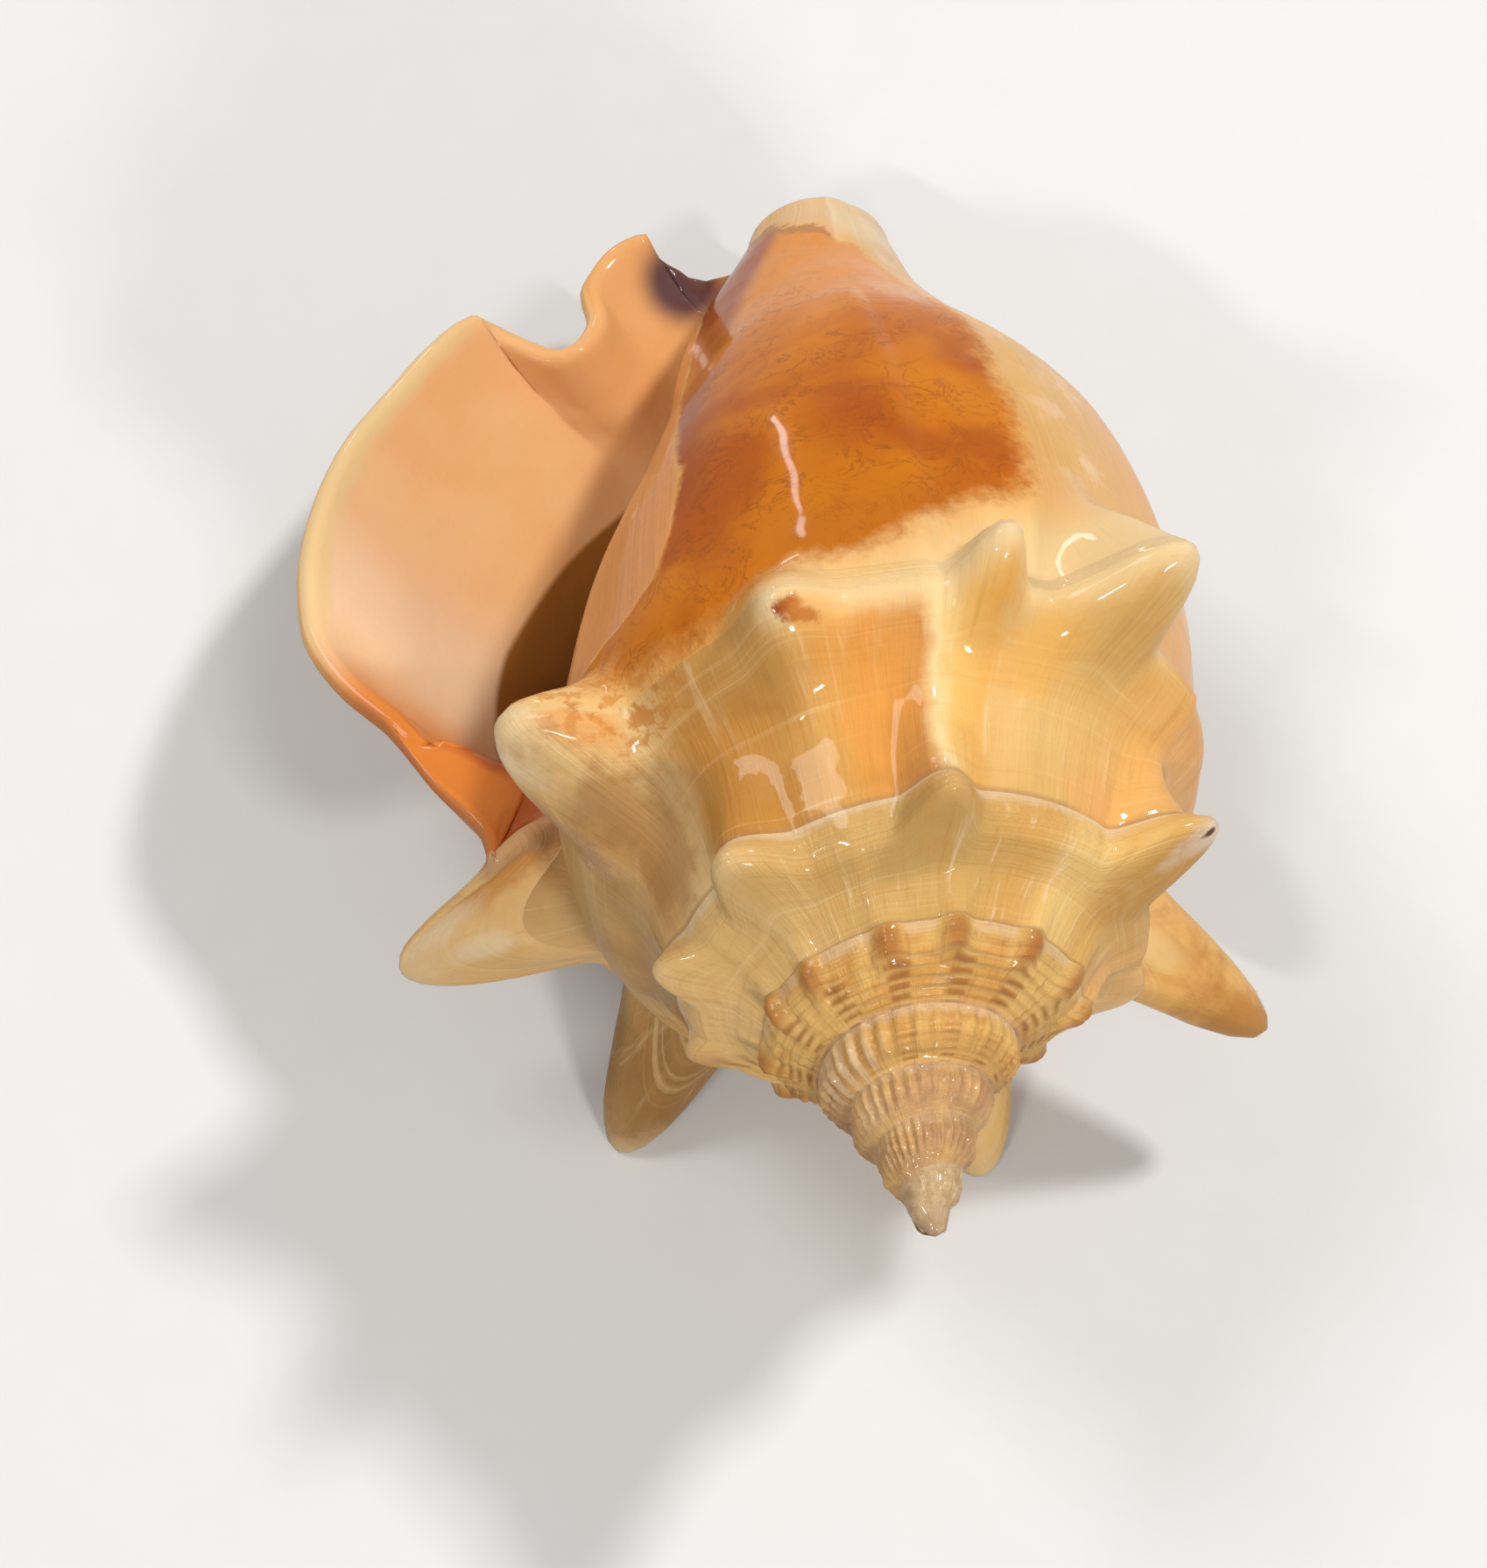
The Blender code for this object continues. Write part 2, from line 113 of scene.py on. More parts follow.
# Edge of the outer lip as (x, y, depth): up the shoulder, then round the wing, the notch and the canal
LIP_EDGE = [(-19.4, 0, 34.3), (-21.8, 0.2, 32.9), (-24.1, -0.4, 31.4), (-25, 0, 33.9),
            (-27.6, 1, 36.9), (-30.7, 2, 41.8), (-33.6, 2.6, 45), (-35.4, 3.2, 48.4),
            (-35.8, 4, 52.5), (-35.1, 4, 59), (-33, 4, 65.4), (-29, 3, 72.8),
            (-26.7, 3, 76), (-22.6, 2, 80), (-18.9, 1, 78.2), (-16.9, 0.5, 77.4),
            (-15.3, 0, 79.8), (-15.4, 0, 83.8), (-12.6, 0, 87.1), (-10.1, -0.3, 87.7),
            (-7.4, -2, 85.6), (-5.6, -3, 84.8), (-3.6, -3.6, 85.6)]
LIP_MARKS = (0, 2, 3, 22)  # which of its points lie at rows 0, 1, 2 and 3
FLARE_TURNS = (0.10, 0.24)  # how far back from its edge the lip flares, on the ramp and side
FLARE_ROWS = (1.9, 2.7)
FLARE_POWER = 2.0
FRONT_BEND = (2.9, -2.4)  # how far the front end swings aside, in x and y
FRONT_BEND_DEPTHS = (62.0, 92.0)
BACK_FLAT = 0.32  # how much the back is flattened near the spire
BACK_FLAT_DEPTHS = (14.0, 23.0)

# (turn, mm outward, mm toward the spire, half width round the whorl, reach toward the spire and toward
# the front). Three are slimmer than in the CAD: the third, and those at -1.714 and -1.842.
SPINES = [(-0.911, 6.4, -1.8, 5.8, 6.4, 7.4), (-0.782, 2.8, 1, 4.2, 7, 3.8),
          (-0.692, 4.6, -0.4, 3, 4.8, 3.7), (-0.629, 7, -0.2, 4.6, 4.6, 11),
          (-0.387, 12.4, 5, 4.6, 8.2, 4), (-0.277, 9.9, 7.8, 6, 7, 5.2),
          (-0.152, 10.6, 5.8, 5.4, 7.2, 5.6), (-0.053, 10, 1.2, 7.2, 8, 2.4),
          (-1.552, 5.6, -1.7, 3.7, 3.2, 5), (-1.714, 3.9, 0.3, 2.9, 3.6, 4),
          (-1.842, 3.9, 0.4, 3.5, 3.7, 4.4), (-1.944, 2.5, 0, 3, 3, 3.2),
          (-2.05, 1.6, 0, 2.6, 2.6, 2.8), (-1.42, 1.4, 0.2, 4, 3.4, 3.4),
          (-1.29, 0.9, 0.2, 4, 3.4, 3.4), (-1.17, 0.7, 0.2, 3.6, 3, 3)]
SPINE_POINT, SPINE_TAPER = 2.0, 2.3
SPINE_TURNS = 0.2  # no spine reaches further round than this
KNOB_FIRST, KNOBS_PER_TURN, KNOB_COUNT = -2.15, 13, 14
KNOB_HEIGHT, KNOB_WIDTH, KNOB_REACH = 1.2, 1.8, 2.3
KNOB_SPREAD = 2.2  # how much further they run toward the next whorl
KNOB_LEAN = 0.1  # mm toward the spire
KNOB_DRIFT, KNOB_UNEVEN = 0.007, 0.25  # how uneven their places (turns) and heights (share) are
EASTMOST_SPINE, TOP_SPINE = -0.387, -0.692  # the spines whose tips touch the CAD's box

# --- the fine mesh
STEPS_PER_TURN = 252
EDGE_STEPS = (0.0010, 0.0024)  # extra places just before the lip's edge
RAMP_STEPS, WALL_STEPS = 30, 6
COARSER = {-3: 2, -4: 4}  # every nth row on whorls older than this turn
SIDE_ROWS = [(2.0, 7), (2 + CEILING, 25), (2.42, 12), (2.64, 36), (3.0, 0)]  # (from row, steps)
FRONT_RINGS = 10
TIP_BLUNT = (0.62, 0.62, 0.22)  # the spire's tip, as shares of its first ring
LIP_ROUND = 0.95  # how far in from the edge the lip starts to round over
LIP_LEFT = 0.22  # share of its thickness left at the very edge
GLAZE_TURNS, GLAZE_ROW = 0.12, 2.12  # the pad of glaze that fills the lip's rear corner
GLAZE_FADE_ROW = 2.02  # row from which the pad thins out toward GLAZE_ROW
GLAZE_SAG, GLAZE_LINES = 0.7, 6

# --- relief finer than the CAD's, in millimetres
CORDS, CORD_HEIGHT = 5.5, 0.075  # spiral cords on the ramp of the older whorls
RIBS_PER_TURN = 34
RIB_HEIGHT, RIB_GROWTH = 0.05, 0.016  # at the axis, and more for each millimetre of radius
SEAM_BEAD, SEAM_BEAD_ROWS = 0.10, 0.075
GLAZE_WAVES = 0.045
WORN_WAVES = (0.08, 0.08)  # on all the old whorls, and more on the oldest
YOUNG_WAVES, YOUNG_GRAIN = 0.05, 0.03
INSIDE_WAVES = 0.05
FRONT_WAVES = 0.12
# Ridges left where the shell stopped growing for a while: turn, height, width in turns
GROWTH_RIDGES = [(-0.716, 0.34, 0.010), (-0.655, 0.16, 0.012), (-0.56, 0.25, 0.012),
                 (-0.47, 0.3, 0.014), (-0.33, 0.3, 0.014), (-0.21, 0.25, 0.012),
                 (-0.105, 0.3, 0.012), (-1.46, 0.2, 0.010), (-1.63, 0.12, 0.010),
                 (-1.77, 0.14, 0.010), (-1.9, 0.14, 0.010), (-1.33, 0.2, 0.01)]

# --- how it is seen and lit: the camera in the shell's millimetres, the lamps in the frame's metres
VIEW_TILT, VIEW_ROLL = math.radians(50), math.radians(7)
VIEW_FROM = (-7.67, 158.36, -97.88)  # (x, y, depth)
VIEW_LENS = 74.6
# name, place, size, watts
LAMPS = [("key", (0.34, 0.26, 0.60), (0.08, 0.08), 2.9),
         ("fill", (-0.42, 0.26, 0.68), (0.24, 0.24), 2.0),
         ("front", (0.30, -0.70, 0.44), (0.15, 0.07), 2.8),
         ("front_left", (-0.34, -0.46, 0.60), (0.14, 0.025), 1.3),
         ("strip", (-0.2, 0.72, 0.14), (0.03, 0.26), 0.4)]
LAMPS_AIM = (0, 0, 0.02)
WORLD_LIGHT, WORLD_STRENGTH = (1.0, 0.98, 0.95), 0.22
BACKGROUND = (0.84, 0.835, 0.82)
FLOOR_REACH = 4.0
FLOOR_SEEN = ((0.735, 0.73, 0.715), (0.76, 0.755, 0.74))
FLOOR_BOUNCE = (0.28, 0.27, 0.25)  # its tone as light that falls back on the shell
FAR_FLOOR = (0.30, 0.85)  # metres over which it fades into the background


# --- form

def through(knots, values, at):
    """A smooth curve through values at rising knots, read at the places given."""
    knots = np.asarray(knots, float)
    values = np.asarray(values, float).reshape(len(knots), -1)
    at = np.asarray(at, float)
    flat = np.clip(at.ravel(), knots[0], knots[-1])
    gap = np.diff(knots)[:, None]
    slope = np.diff(values, axis=0) / gap
    tangent = np.empty_like(values)
    tangent[1:-1] = (slope[:-1] * gap[1:] + slope[1:] * gap[:-1]) / (gap[1:] + gap[:-1])
    tangent[0], tangent[-1] = slope[0], slope[-1]
    i = np.clip(np.searchsorted(knots, flat, side="right") - 1, 0, len(knots) - 2)
    h = (knots[i + 1] - knots[i])[:, None]
    u = (flat - knots[i])[:, None] / h
    out = hermite(u, values[i], values[i + 1], h * tangent[i], h * tangent[i + 1])
    return out.reshape(at.shape + (values.shape[1],))


def hermite(u, a, b, start, end):
    """The point at share u of a curve from a to b that leaves along start and arrives along end."""
    return ((2 * u**3 - 3 * u**2 + 1) * a + (u**3 - 2 * u**2 + u) * start
            + (-2 * u**3 + 3 * u**2) * b + (u**3 - u**2) * end)


def ease(low, high, x):
    """0 at low and beyond, 1 at high and beyond, and smooth between."""
    u = np.clip((x - low) / (high - low), 0, 1)
    return u * u * (3 - 2 * u)


def table(rows, turn):
    """(radius, depth) at a turn, from rows of (turn, radius, depth)."""
    rows = np.array(rows, float)
    return through(rows[:, 0], rows[:, 1:], turn)


def side_wall(turn):
    turns = sorted(SIDE)
    rows = np.array([SIDE[t] for t in turns], float)
    return through(turns, rows.reshape(len(turns), -1), turn).reshape(np.shape(turn) + (7, 2))


def profile(turn, row):
    """(radius, depth) of a place before spines, bends and the flare of the lip."""
    suture, shoulder = table(SUTURE, turn), table(SHOULDER, turn)
    side = side_wall(np.maximum(turn, min(SIDE)))
    under = np.where((turn <= -1)[..., None], table(SUTURE, turn + 1), side[..., 0, :])
    along = shoulder - suture
    square = np.stack([-along[..., 1], along[..., 0]], -1)
    late = ease(*RAMP_CHANGE, turn)
    middle = suture + 0.5 * along + square * (RAMP_BULGE * late + RAMP_HOLLOW * (1 - late))[..., None]
    points = np.concatenate([np.stack([suture, middle, shoulder, under], -2), side[..., 1:, :]], -2)
    knots = np.array([0, 0.5, 1, 2] + [2 + i / 6 for i in range(1, 7)])
    last = len(knots) - 1
    i = np.clip(np.searchsorted(knots, row, side="right") - 1, 0, last - 1)

    def point(j):
        return np.take_along_axis(points, np.clip(j, 0, last)[..., None, None], -2)[..., 0, :]

    before, a, b, after = point(i - 1), point(i), point(i + 1), point(i + 2)
    u = ((row - knots[i]) / (knots[np.minimum(i + 1, last)] - knots[i]))[..., None]
    l0, l1, l2 = (np.linalg.norm(q - p, axis=-1, keepdims=True) + 1e-6
                  for p, q in ((before, a), (a, b), (b, after)))
    start = ((a - before) / l0 * l1 + (b - a) / l1 * l0) / (l0 + l1) * l1
    end = ((b - a) / l1 * l2 + (after - b) / l2 * l1) / (l1 + l2) * l1
    start = np.where((i == 0)[..., None], b - a, start)
    end = np.where((i == last - 1)[..., None], b - a, end)
    return hermite(u, a, b, start, end)


def all_spines():
    """The spines of the last two whorls, and the knobs of the next, which are uneven as grown."""
    knobs = [(KNOB_FIRST - i / KNOBS_PER_TURN + KNOB_DRIFT * math.sin(2.6 * i),
              (KNOB_HEIGHT - 0.05 * i) * (1 + KNOB_UNEVEN * math.sin(1.9 * i + 1)), KNOB_LEAN,
              KNOB_WIDTH - 0.055 * i, KNOB_REACH - 0.07 * i, (KNOB_WIDTH - 0.05 * i) * KNOB_SPREAD)
             for i in range(KNOB_COUNT)]
    return SPINES + knobs


def spine_distance(turn, row, place, spine):
    """How far a place is from a spine's middle: 0 there, 1 at its foot."""
    at, _, _, width, back, front = spine
    round_whorl = ROUND * (turn - at) * table(SHOULDER, np.array(at))[0]
    off = place - table(SHOULDER, turn)
    reach = np.where(row < 1, back, front)
    return np.sqrt((round_whorl / width) ** 2 + (np.linalg.norm(off, axis=-1) / reach) ** 2)


def spine_shift(turn, row, place):
    """How far the spines move each place, as (radius, depth)."""
    shift = np.zeros(place.shape)
    for spine in all_spines():
        near = np.abs(turn - spine[0]) < SPINE_TURNS
        if not near.any():
            continue
        far = spine_distance(turn[near], row[near], place[near], spine)
        rise = (1 - np.minimum(far, 1) ** SPINE_POINT) ** SPINE_TAPER
        shift[near] += rise[:, None] * np.array([spine[1], -spine[2]])
    return shift


def swing(point):
    """The front end bent aside."""
    amount = ease(*FRONT_BEND_DEPTHS, point[..., 2])
    return point + amount[..., None] * np.array([FRONT_BEND[0], FRONT_BEND[1], 0])


def round_axis(turn, place):
    """(x, y, depth) of a (radius, depth) at its turn, with the back a little flatter than a circle."""
    angle = math.pi - ROUND * turn
    y = place[..., 0] * np.sin(angle)
    flat = BACK_FLAT * (1 - ease(*BACK_FLAT_DEPTHS, place[..., 1]))
    return np.stack([place[..., 0] * np.cos(angle), y + flat * np.maximum(-y, 0), place[..., 1]], -1)


def along_line(points):
    """Running length at each of a line's points."""
    return np.r_[0, np.cumsum(np.linalg.norm(np.diff(points, axis=0), axis=1))]


def lip_edge(row):
    edge = np.array(LIP_EDGE, float)
    run = along_line(edge)
    return through(run, edge, np.interp(row, range(4), run[list(LIP_MARKS)]))


def outside(turn, row, spines=True):
    """(x, y, depth) of the outer surface. A spine above lifts the suture under it too."""
    turn, row = np.broadcast_arrays(np.asarray(turn, float), np.asarray(row, float))
    place = profile(turn, row)
    if spines:
        flat = place.reshape(-1, 2)
        own = spine_shift(turn.ravel(), row.ravel(), flat)
        above = np.maximum(turn.ravel() - 1, -SPIRE_TURNS)
        last = np.full(above.shape, 2.0)
        earlier = spine_shift(above, last, profile(above, last))
        hold = ((1 - np.clip(row, 0, 1)) ** 2 * (turn > 1 - SPIRE_TURNS))[..., None]
        place = place + own.reshape(place.shape) + earlier.reshape(place.shape) * hold
    point = swing(round_axis(turn, place))
    lip = np.zeros_like(turn)
    start = FLARE_TURNS[0] + (FLARE_TURNS[1] - FLARE_TURNS[0]) * ease(*FLARE_ROWS, row)
    flare = np.clip(1 + turn / start, 0, 1) ** FLARE_POWER
    return point + flare[..., None] * (lip_edge(row) - swing(round_axis(lip, profile(lip, row))))


def inside(turn, row, thickness):
    """The outer surface without spines, moved in by the thickness, and its outward direction."""
    step = 1e-3
    back, on = np.minimum(turn, -2 * step), np.clip(row, 2 * step, 3 - 2 * step)
    along = outside(back + step, on, False) - outside(back - step, on, False)
    down = outside(back, on + step, False) - outside(back, on - step, False)
    square = np.cross(down, along)
    square /= np.linalg.norm(square, axis=-1, keepdims=True)
    return outside(turn, row, False) - square * thickness[..., None], square


def at_rest(points):
    """The shell's (x, y, depth) turned to how it lies, still in millimetres."""
    up = np.array([math.sin(REST_ROLL), math.cos(REST_ROLL) * math.cos(REST_LEAN),
                   math.cos(REST_ROLL) * math.sin(REST_LEAN)])
    ahead = np.array([0.0, 0.0, -1.0]) - up * -up[2]
    ahead /= np.linalg.norm(ahead)
    return (points * [1, 1, -1]) @ np.stack([np.cross(ahead, up), ahead, up], 1)


def placed(points):
    """Millimetres of the shell, (x, y, depth), as metres in the frame of the CAD."""
    low, high = CAD_BOX
    tips = at_rest(outside(np.array([EASTMOST_SPINE, TOP_SPINE]), np.array([1.0, 1.0])))
    tip = at_rest(np.zeros((1, 3)))[0]
    shift = np.array([high[0] - tips[0, 0] * MM, low[1] - tip[1] * MM, high[2] - tips[1, 2] * MM])
    return at_rest(np.asarray(points, float)) * MM + shift


def wobble(x, y, seed, octaves=3):
    """Smooth unevenness between about -1 and 1, from a few crossing waves."""
    total = 0
    for k in range(octaves):
        a = seed * 1.7 + k * 2.4
        f = 1.9 ** k
        total = total + (np.sin(f * (x * math.cos(a) + y * math.sin(a)) + 3 * a)
                         + np.sin(f * (x * math.sin(1.3 * a) - y * math.cos(1.3 * a)) * 1.31 + 5 * a)
                         ) / 2 / 1.6 ** k
    return total / 1.6


def relief(turn, row):
    """How far the surface stands out, in millimetres, beyond the plain form."""
    radius = table(SHOULDER, turn)[..., 0]
    run = ROUND * radius * turn
    old, young = ease(-1.7, -2.3, turn), ease(-2.3, -1.8, turn)

    # Cords along the whorls, ribs across the oldest, and a bead under each suture
    waver = 0.15 * wobble(9 * turn, np.zeros_like(turn), 1)
    cords = np.clip(np.cos(ROUND * (CORDS * np.clip(row, 0, 1) + waver)), -0.3, 1)
    out = CORD_HEIGHT * old * (1 - 0.75 * ease(-3.6, -4.3, turn)) * cords
    ribs = np.cos(ROUND * RIBS_PER_TURN * turn + 1.5 * wobble(11 * turn, row, 2)) * ease(0.25, 0.8, row)
    oldest = ease(-2.6, -3.2, turn) * ease(-6.9, -6.0, turn)
    out = out + oldest * (RIB_HEIGHT + RIB_GROWTH * radius) * ribs
    out = out + SEAM_BEAD * np.exp(-(row / SEAM_BEAD_ROWS) ** 2) * ease(0, 0.03, row) * (turn < -1.0)

    # Growth ridges, steep on the side of the younger shell
    for at, height, width in GROWTH_RIDGES:
        u = (turn - at) / width
        out = out + height * np.exp(-np.where(u < 0, (u * 0.7) ** 2, (u * 2.2) ** 2)) * (row < 2.6)

    # Low waves of the glaze, of the worn old whorls and of the last ones
    glazed = ease(-0.93, -0.89, turn) * (1 - ease(-0.67, -0.63, turn)) * ease(2.03, 2.12, row)
    out = out + GLAZE_WAVES * glazed * wobble(run, row * 40, 5, 2)
    worn = (WORN_WAVES[0] + WORN_WAVES[1] * ease(-3.5, -4.2, turn)) * old * ease(-6.9, -6.4, turn)
    out = out + worn * wobble(run * 1.2, row * 7, 6)
    out = out + young * YOUNG_WAVES * wobble(run / 1.5, row * 6, 3)
    out = out + young * YOUNG_GRAIN * wobble(run * 1.1, row * 22, 4)

    seams = ease(0.0, 0.07, row) * (1 - ease(1.5, 2.0, row) * (turn < -1))
    return out * seams * (1 - ease(2.86, 3.0, row))


# --- mesh

OUTER, INNER = 0.0, 1.0  # layer


def grid_normals(points):
    square = np.cross(np.gradient(points, axis=1), np.gradient(points, axis=0))
    return square / (np.linalg.norm(square, axis=-1, keepdims=True) + 1e-9)


def thinned(turn, speed):
    """Share of the lip's thickness that is rounded away; speed is millimetres per turn at the edge."""
    near = np.clip(1 + turn * speed / LIP_ROUND, 0, 1)
    return 1 - (LIP_LEFT + (1 - LIP_LEFT) * np.sqrt(1 - near ** 2 * 0.999))


class Mesh:
    """Corners and faces, with the (turn, row, layer) of each face corner as its mark."""

    def __init__(self):
        self.points = np.zeros((0, 3))
        self.faces, self.marks = [], []

    def add(self, points):
        points = np.asarray(points, float)
        first = len(self.points)
        self.points = np.concatenate([self.points, points.reshape(-1, 3)])
        return first + np.arange(points[..., 0].size).reshape(points.shape[:-1])

    def quads(self, ids, marks):
        """Faces of a grid of corners; marks is a matching grid."""
        for source, store in ((ids, self.faces), (marks, self.marks)):
            cells = np.stack([source[:-1, :-1], source[1:, :-1], source[1:, 1:], source[:-1, 1:]], 2)
            store += cells.reshape((-1, 4) + cells.shape[3:]).tolist()

    def ladder(self, left, right):
        """Triangles between two lines, each a list of (corner, mark)."""
        i = j = 0
        spots = self.points
        while i < len(left) - 1 or j < len(right) - 1:
            step_left = j == len(right) - 1
            if not step_left and i < len(left) - 1:
                step_left = (np.linalg.norm(spots[left[i + 1][0]] - spots[right[j][0]])
                             < np.linalg.norm(spots[left[i][0]] - spots[right[j + 1][0]]))
            corner = left[i + 1] if step_left else right[j + 1]
            face = [left[i], right[j], corner]
            if len({c for c, _ in face}) == 3:
                self.faces.append([c for c, _ in face])
                self.marks.append([m for _, m in face])
            i, j = (i + 1, j) if step_left else (i, j + 1)


class ShellMesh(Mesh):
    """The shell as one closed surface. Each part shares corners with those before it."""

    def __init__(self):
        super().__init__()
        even = np.arange(STEPS_PER_TURN) / STEPS_PER_TURN
        places = np.unique(np.concatenate([even, 1 - np.array(EDGE_STEPS)]))
        self.per_turn = len(places)
        self.turns = np.concatenate([places + k for k in range(-SPIRE_TURNS, 0)] + [[0.0]])
        ramp = np.concatenate([np.linspace(0, 1, RAMP_STEPS + 1), np.linspace(1, 2, WALL_STEPS + 1)[1:]])
        side = np.concatenate([np.linspace(a, b, n + 1)[1:]
                               for (a, n), (b, _) in zip(SIDE_ROWS, SIDE_ROWS[1:])])
        self.rows = np.concatenate([ramp, side])

        # Columns of the grid, by row: the suture of the next whorl, the roof of the hollow, the front end
        self.suture = len(ramp) - 1
        self.roof = self.suture + SIDE_ROWS[0][1]
        self.front = len(self.rows) - 1
        # Lines of the grid, by turn: the lip, one turn back, the end of the hollow, one turn back from it
        self.lip = len(self.turns) - 1
        self.body = self.lip - self.per_turn
        self.hollow = int(np.argmin(np.abs(self.turns + HOLLOW_TURNS)))
        self.core = self.hollow - self.per_turn

        self.base = outside(self.turns[:, None], self.rows[None, :])
        self.speed = (np.linalg.norm(self.base[self.lip] - self.base[self.lip - 1], axis=-1)
                      / (self.turns[self.lip] - self.turns[self.lip - 1]))
        self.places = np.stack(np.broadcast_arrays(self.turns[:, None], self.rows[None, :], OUTER), -1)
        self.add_outer_corners()
        self.add_outer_faces()
        self.add_inner()
        self.add_pad()
        self.add_front_end()
        self.add_spire_tip()

    def outer(self, turn, row):
        """A corner of the outer surface with its mark."""
        return self.ids[turn, row], self.places[turn, row]

    def add_outer_corners(self):
        """The outer surface with its finer relief and its lip rounded over."""
        ends = ease(0.0, 0.4, self.rows) * (1 - ease(2.9, 3.0, self.rows))
        tuck = LIP_THICKNESS / 2 * thinned(self.turns[:, None], self.speed[None]) * ends[None]
        raised = relief(self.turns[:, None], np.broadcast_to(self.rows[None, :], self.base.shape[:2]))
        shape = self.base + grid_normals(self.base) * (raised - tuck)[..., None]

        suture, roof, body, core = self.suture, self.roof, self.body, self.core
        self.ids = ids = np.full(self.base.shape[:2], -1)
        ids[:, :suture] = self.add(shape[:, :suture])
        ids[body + 1:, suture:roof] = self.add(shape[body + 1:, suture:roof])
        ids[core:, roof:] = self.add(shape[core:, roof:])
        ids[:body + 1, suture] = ids[self.per_turn:, 0]
        ids[body, suture + 1:roof] = self.add(self.base[body, suture + 1:roof])

    def add_outer_faces(self):
        """The ramps, coarser on the older whorls, then the side wall."""
        ids, places, suture = self.ids, self.places, self.suture
        coarse = {turn: int(np.argmin(np.abs(self.turns - turn))) for turn in COARSER}
        stops = [0] + [coarse[t] for t in sorted(coarse)] + [self.lip]
        steps = [COARSER[t] for t in sorted(coarse)] + [1]
        for a, b, n in zip(stops, stops[1:], steps):
            kept = np.r_[0:RAMP_STEPS:n, RAMP_STEPS:suture + 1:min(n, WALL_STEPS // 2)]
            last = b if b == self.lip else b - 1
            self.quads(ids[a:last + 1][:, kept], places[a:last + 1][:, kept])
            if b != self.lip:
                half = max(n // 2, 1)
                finer = np.r_[0:RAMP_STEPS:half, RAMP_STEPS:suture + 1:min(half, WALL_STEPS // 2)]
                self.ladder([self.outer(last, j) for j in kept], [self.outer(b, j) for j in finer])
        self.quads(ids[self.body:, suture:], places[self.body:, suture:])
        self.quads(ids[self.core:self.body + 1, self.roof:], places[self.core:self.body + 1, self.roof:])

    def add_inner(self):
        """The inner surface, from the lip back to where the hollow ends."""
        base, body, core = self.base, self.body, self.core
        rows = np.concatenate([np.linspace(UNDER_RAMP, 1, 9), [1.25, 1.5, 1.75, 2.0],
                               self.rows[self.suture + 1:]])
        across = np.broadcast_to(rows, (self.lip + 1 - self.hollow, len(rows)))
        along = np.broadcast_to(self.turns[self.hollow:, None], across.shape)
        sheet, square = inside(along, across, WALL + (LIP_THICKNESS - WALL) * ease(-0.2, 0, along))
        to_roof = (1 - ease(UNDER_RAMP, 0.9, across))[..., None]
        to_front = ease(2.8, 3.0, across)[..., None]
        sheet = (sheet + to_roof * (base[core:body + 1, self.roof] - sheet[:, 0])[:, None]
                 + to_front * (base[core:body + 1, self.front] - sheet[:, -1])[:, None])

        # The pad of glaze bridges the rear corner with a sagging web
        self.pad = pad = int(np.argmin(np.abs(rows - GLAZE_ROW)))
        share = np.linspace(0, 1, pad + 1)[None, :, None]
        chord = sheet[:, :1] + (sheet[:, pad:pad + 1] - sheet[:, :1]) * share
        chord[..., 1] -= GLAZE_SAG * np.sin(math.pi * share[..., 0])
        web = ease(-GLAZE_TURNS, -0.01, along[:, :pad + 1])
        web = (web * (1 - ease(GLAZE_FADE_ROW, GLAZE_ROW, across[:, :pad + 1])))[..., None]
        sheet[:, :pad + 1] += web * (chord - sheet[:, :pad + 1])

        # Rounded toward the lip's edge, and slightly uneven
        spread = ease(0.5, 1.0, across) * (1 - ease(2.85, 3.0, across))
        fill = thinned(along, np.interp(rows, self.rows, self.speed)) * spread
        uneven = INSIDE_WAVES * wobble(across * 14, along * 60, 7) * spread
        sheet = sheet + square * (LIP_THICKNESS / 2 * fill + uneven)[..., None]
        self.inner = np.full(across.shape, -1)
        self.inner[:, 1:-1] = self.add(sheet[:, 1:-1])
        self.inner[:, 0] = self.ids[core:body + 1, self.roof]
        self.inner[:, -1] = self.ids[core:body + 1, self.front]
        self.inner_places = np.stack([along, across, np.full(across.shape, INNER)], -1)
        self.quads(self.inner.T, self.inner_places.transpose(1, 0, 2))

    def add_pad(self):
        """The pad's face, from the lip's edge across to the body, then the rest of the edge."""
        ids, lip, front, pad = self.ids, self.lip, self.front, self.pad
        inner, inner_places = self.inner, self.inner_places
        last = inner.shape[1] - 1
        rim = int(np.argmin(np.abs(self.rows[:self.roof] - GLAZE_ROW) + (self.rows[:self.roof] < 2)))
        edge_line = self.points[ids[lip, :rim + 1]]
        far_side = np.r_[ids[self.body, self.suture:self.roof], inner[-1, :pad + 1]]
        far_line = self.points[far_side]
        run, opposite = along_line(far_line), along_line(edge_line)
        opposite = through(run, far_line, opposite / opposite[-1] * run[-1])
        lines = [ids[lip, :rim + 1]]
        for k in range(1, GLAZE_LINES):
            share = k / GLAZE_LINES
            bowl = GLAZE_SAG * math.sin(math.pi * share) * np.sin(math.pi * np.linspace(0, 1, rim + 1))
            spots = edge_line + (opposite - edge_line) * share
            spots[:, 1] -= bowl
            lines.append(self.add(spots))

        def pad_places(count):
            rows = np.linspace(GLAZE_ROW - 1, GLAZE_ROW, count)
            return np.stack([np.zeros(count), rows, np.full(count, INNER)], -1)

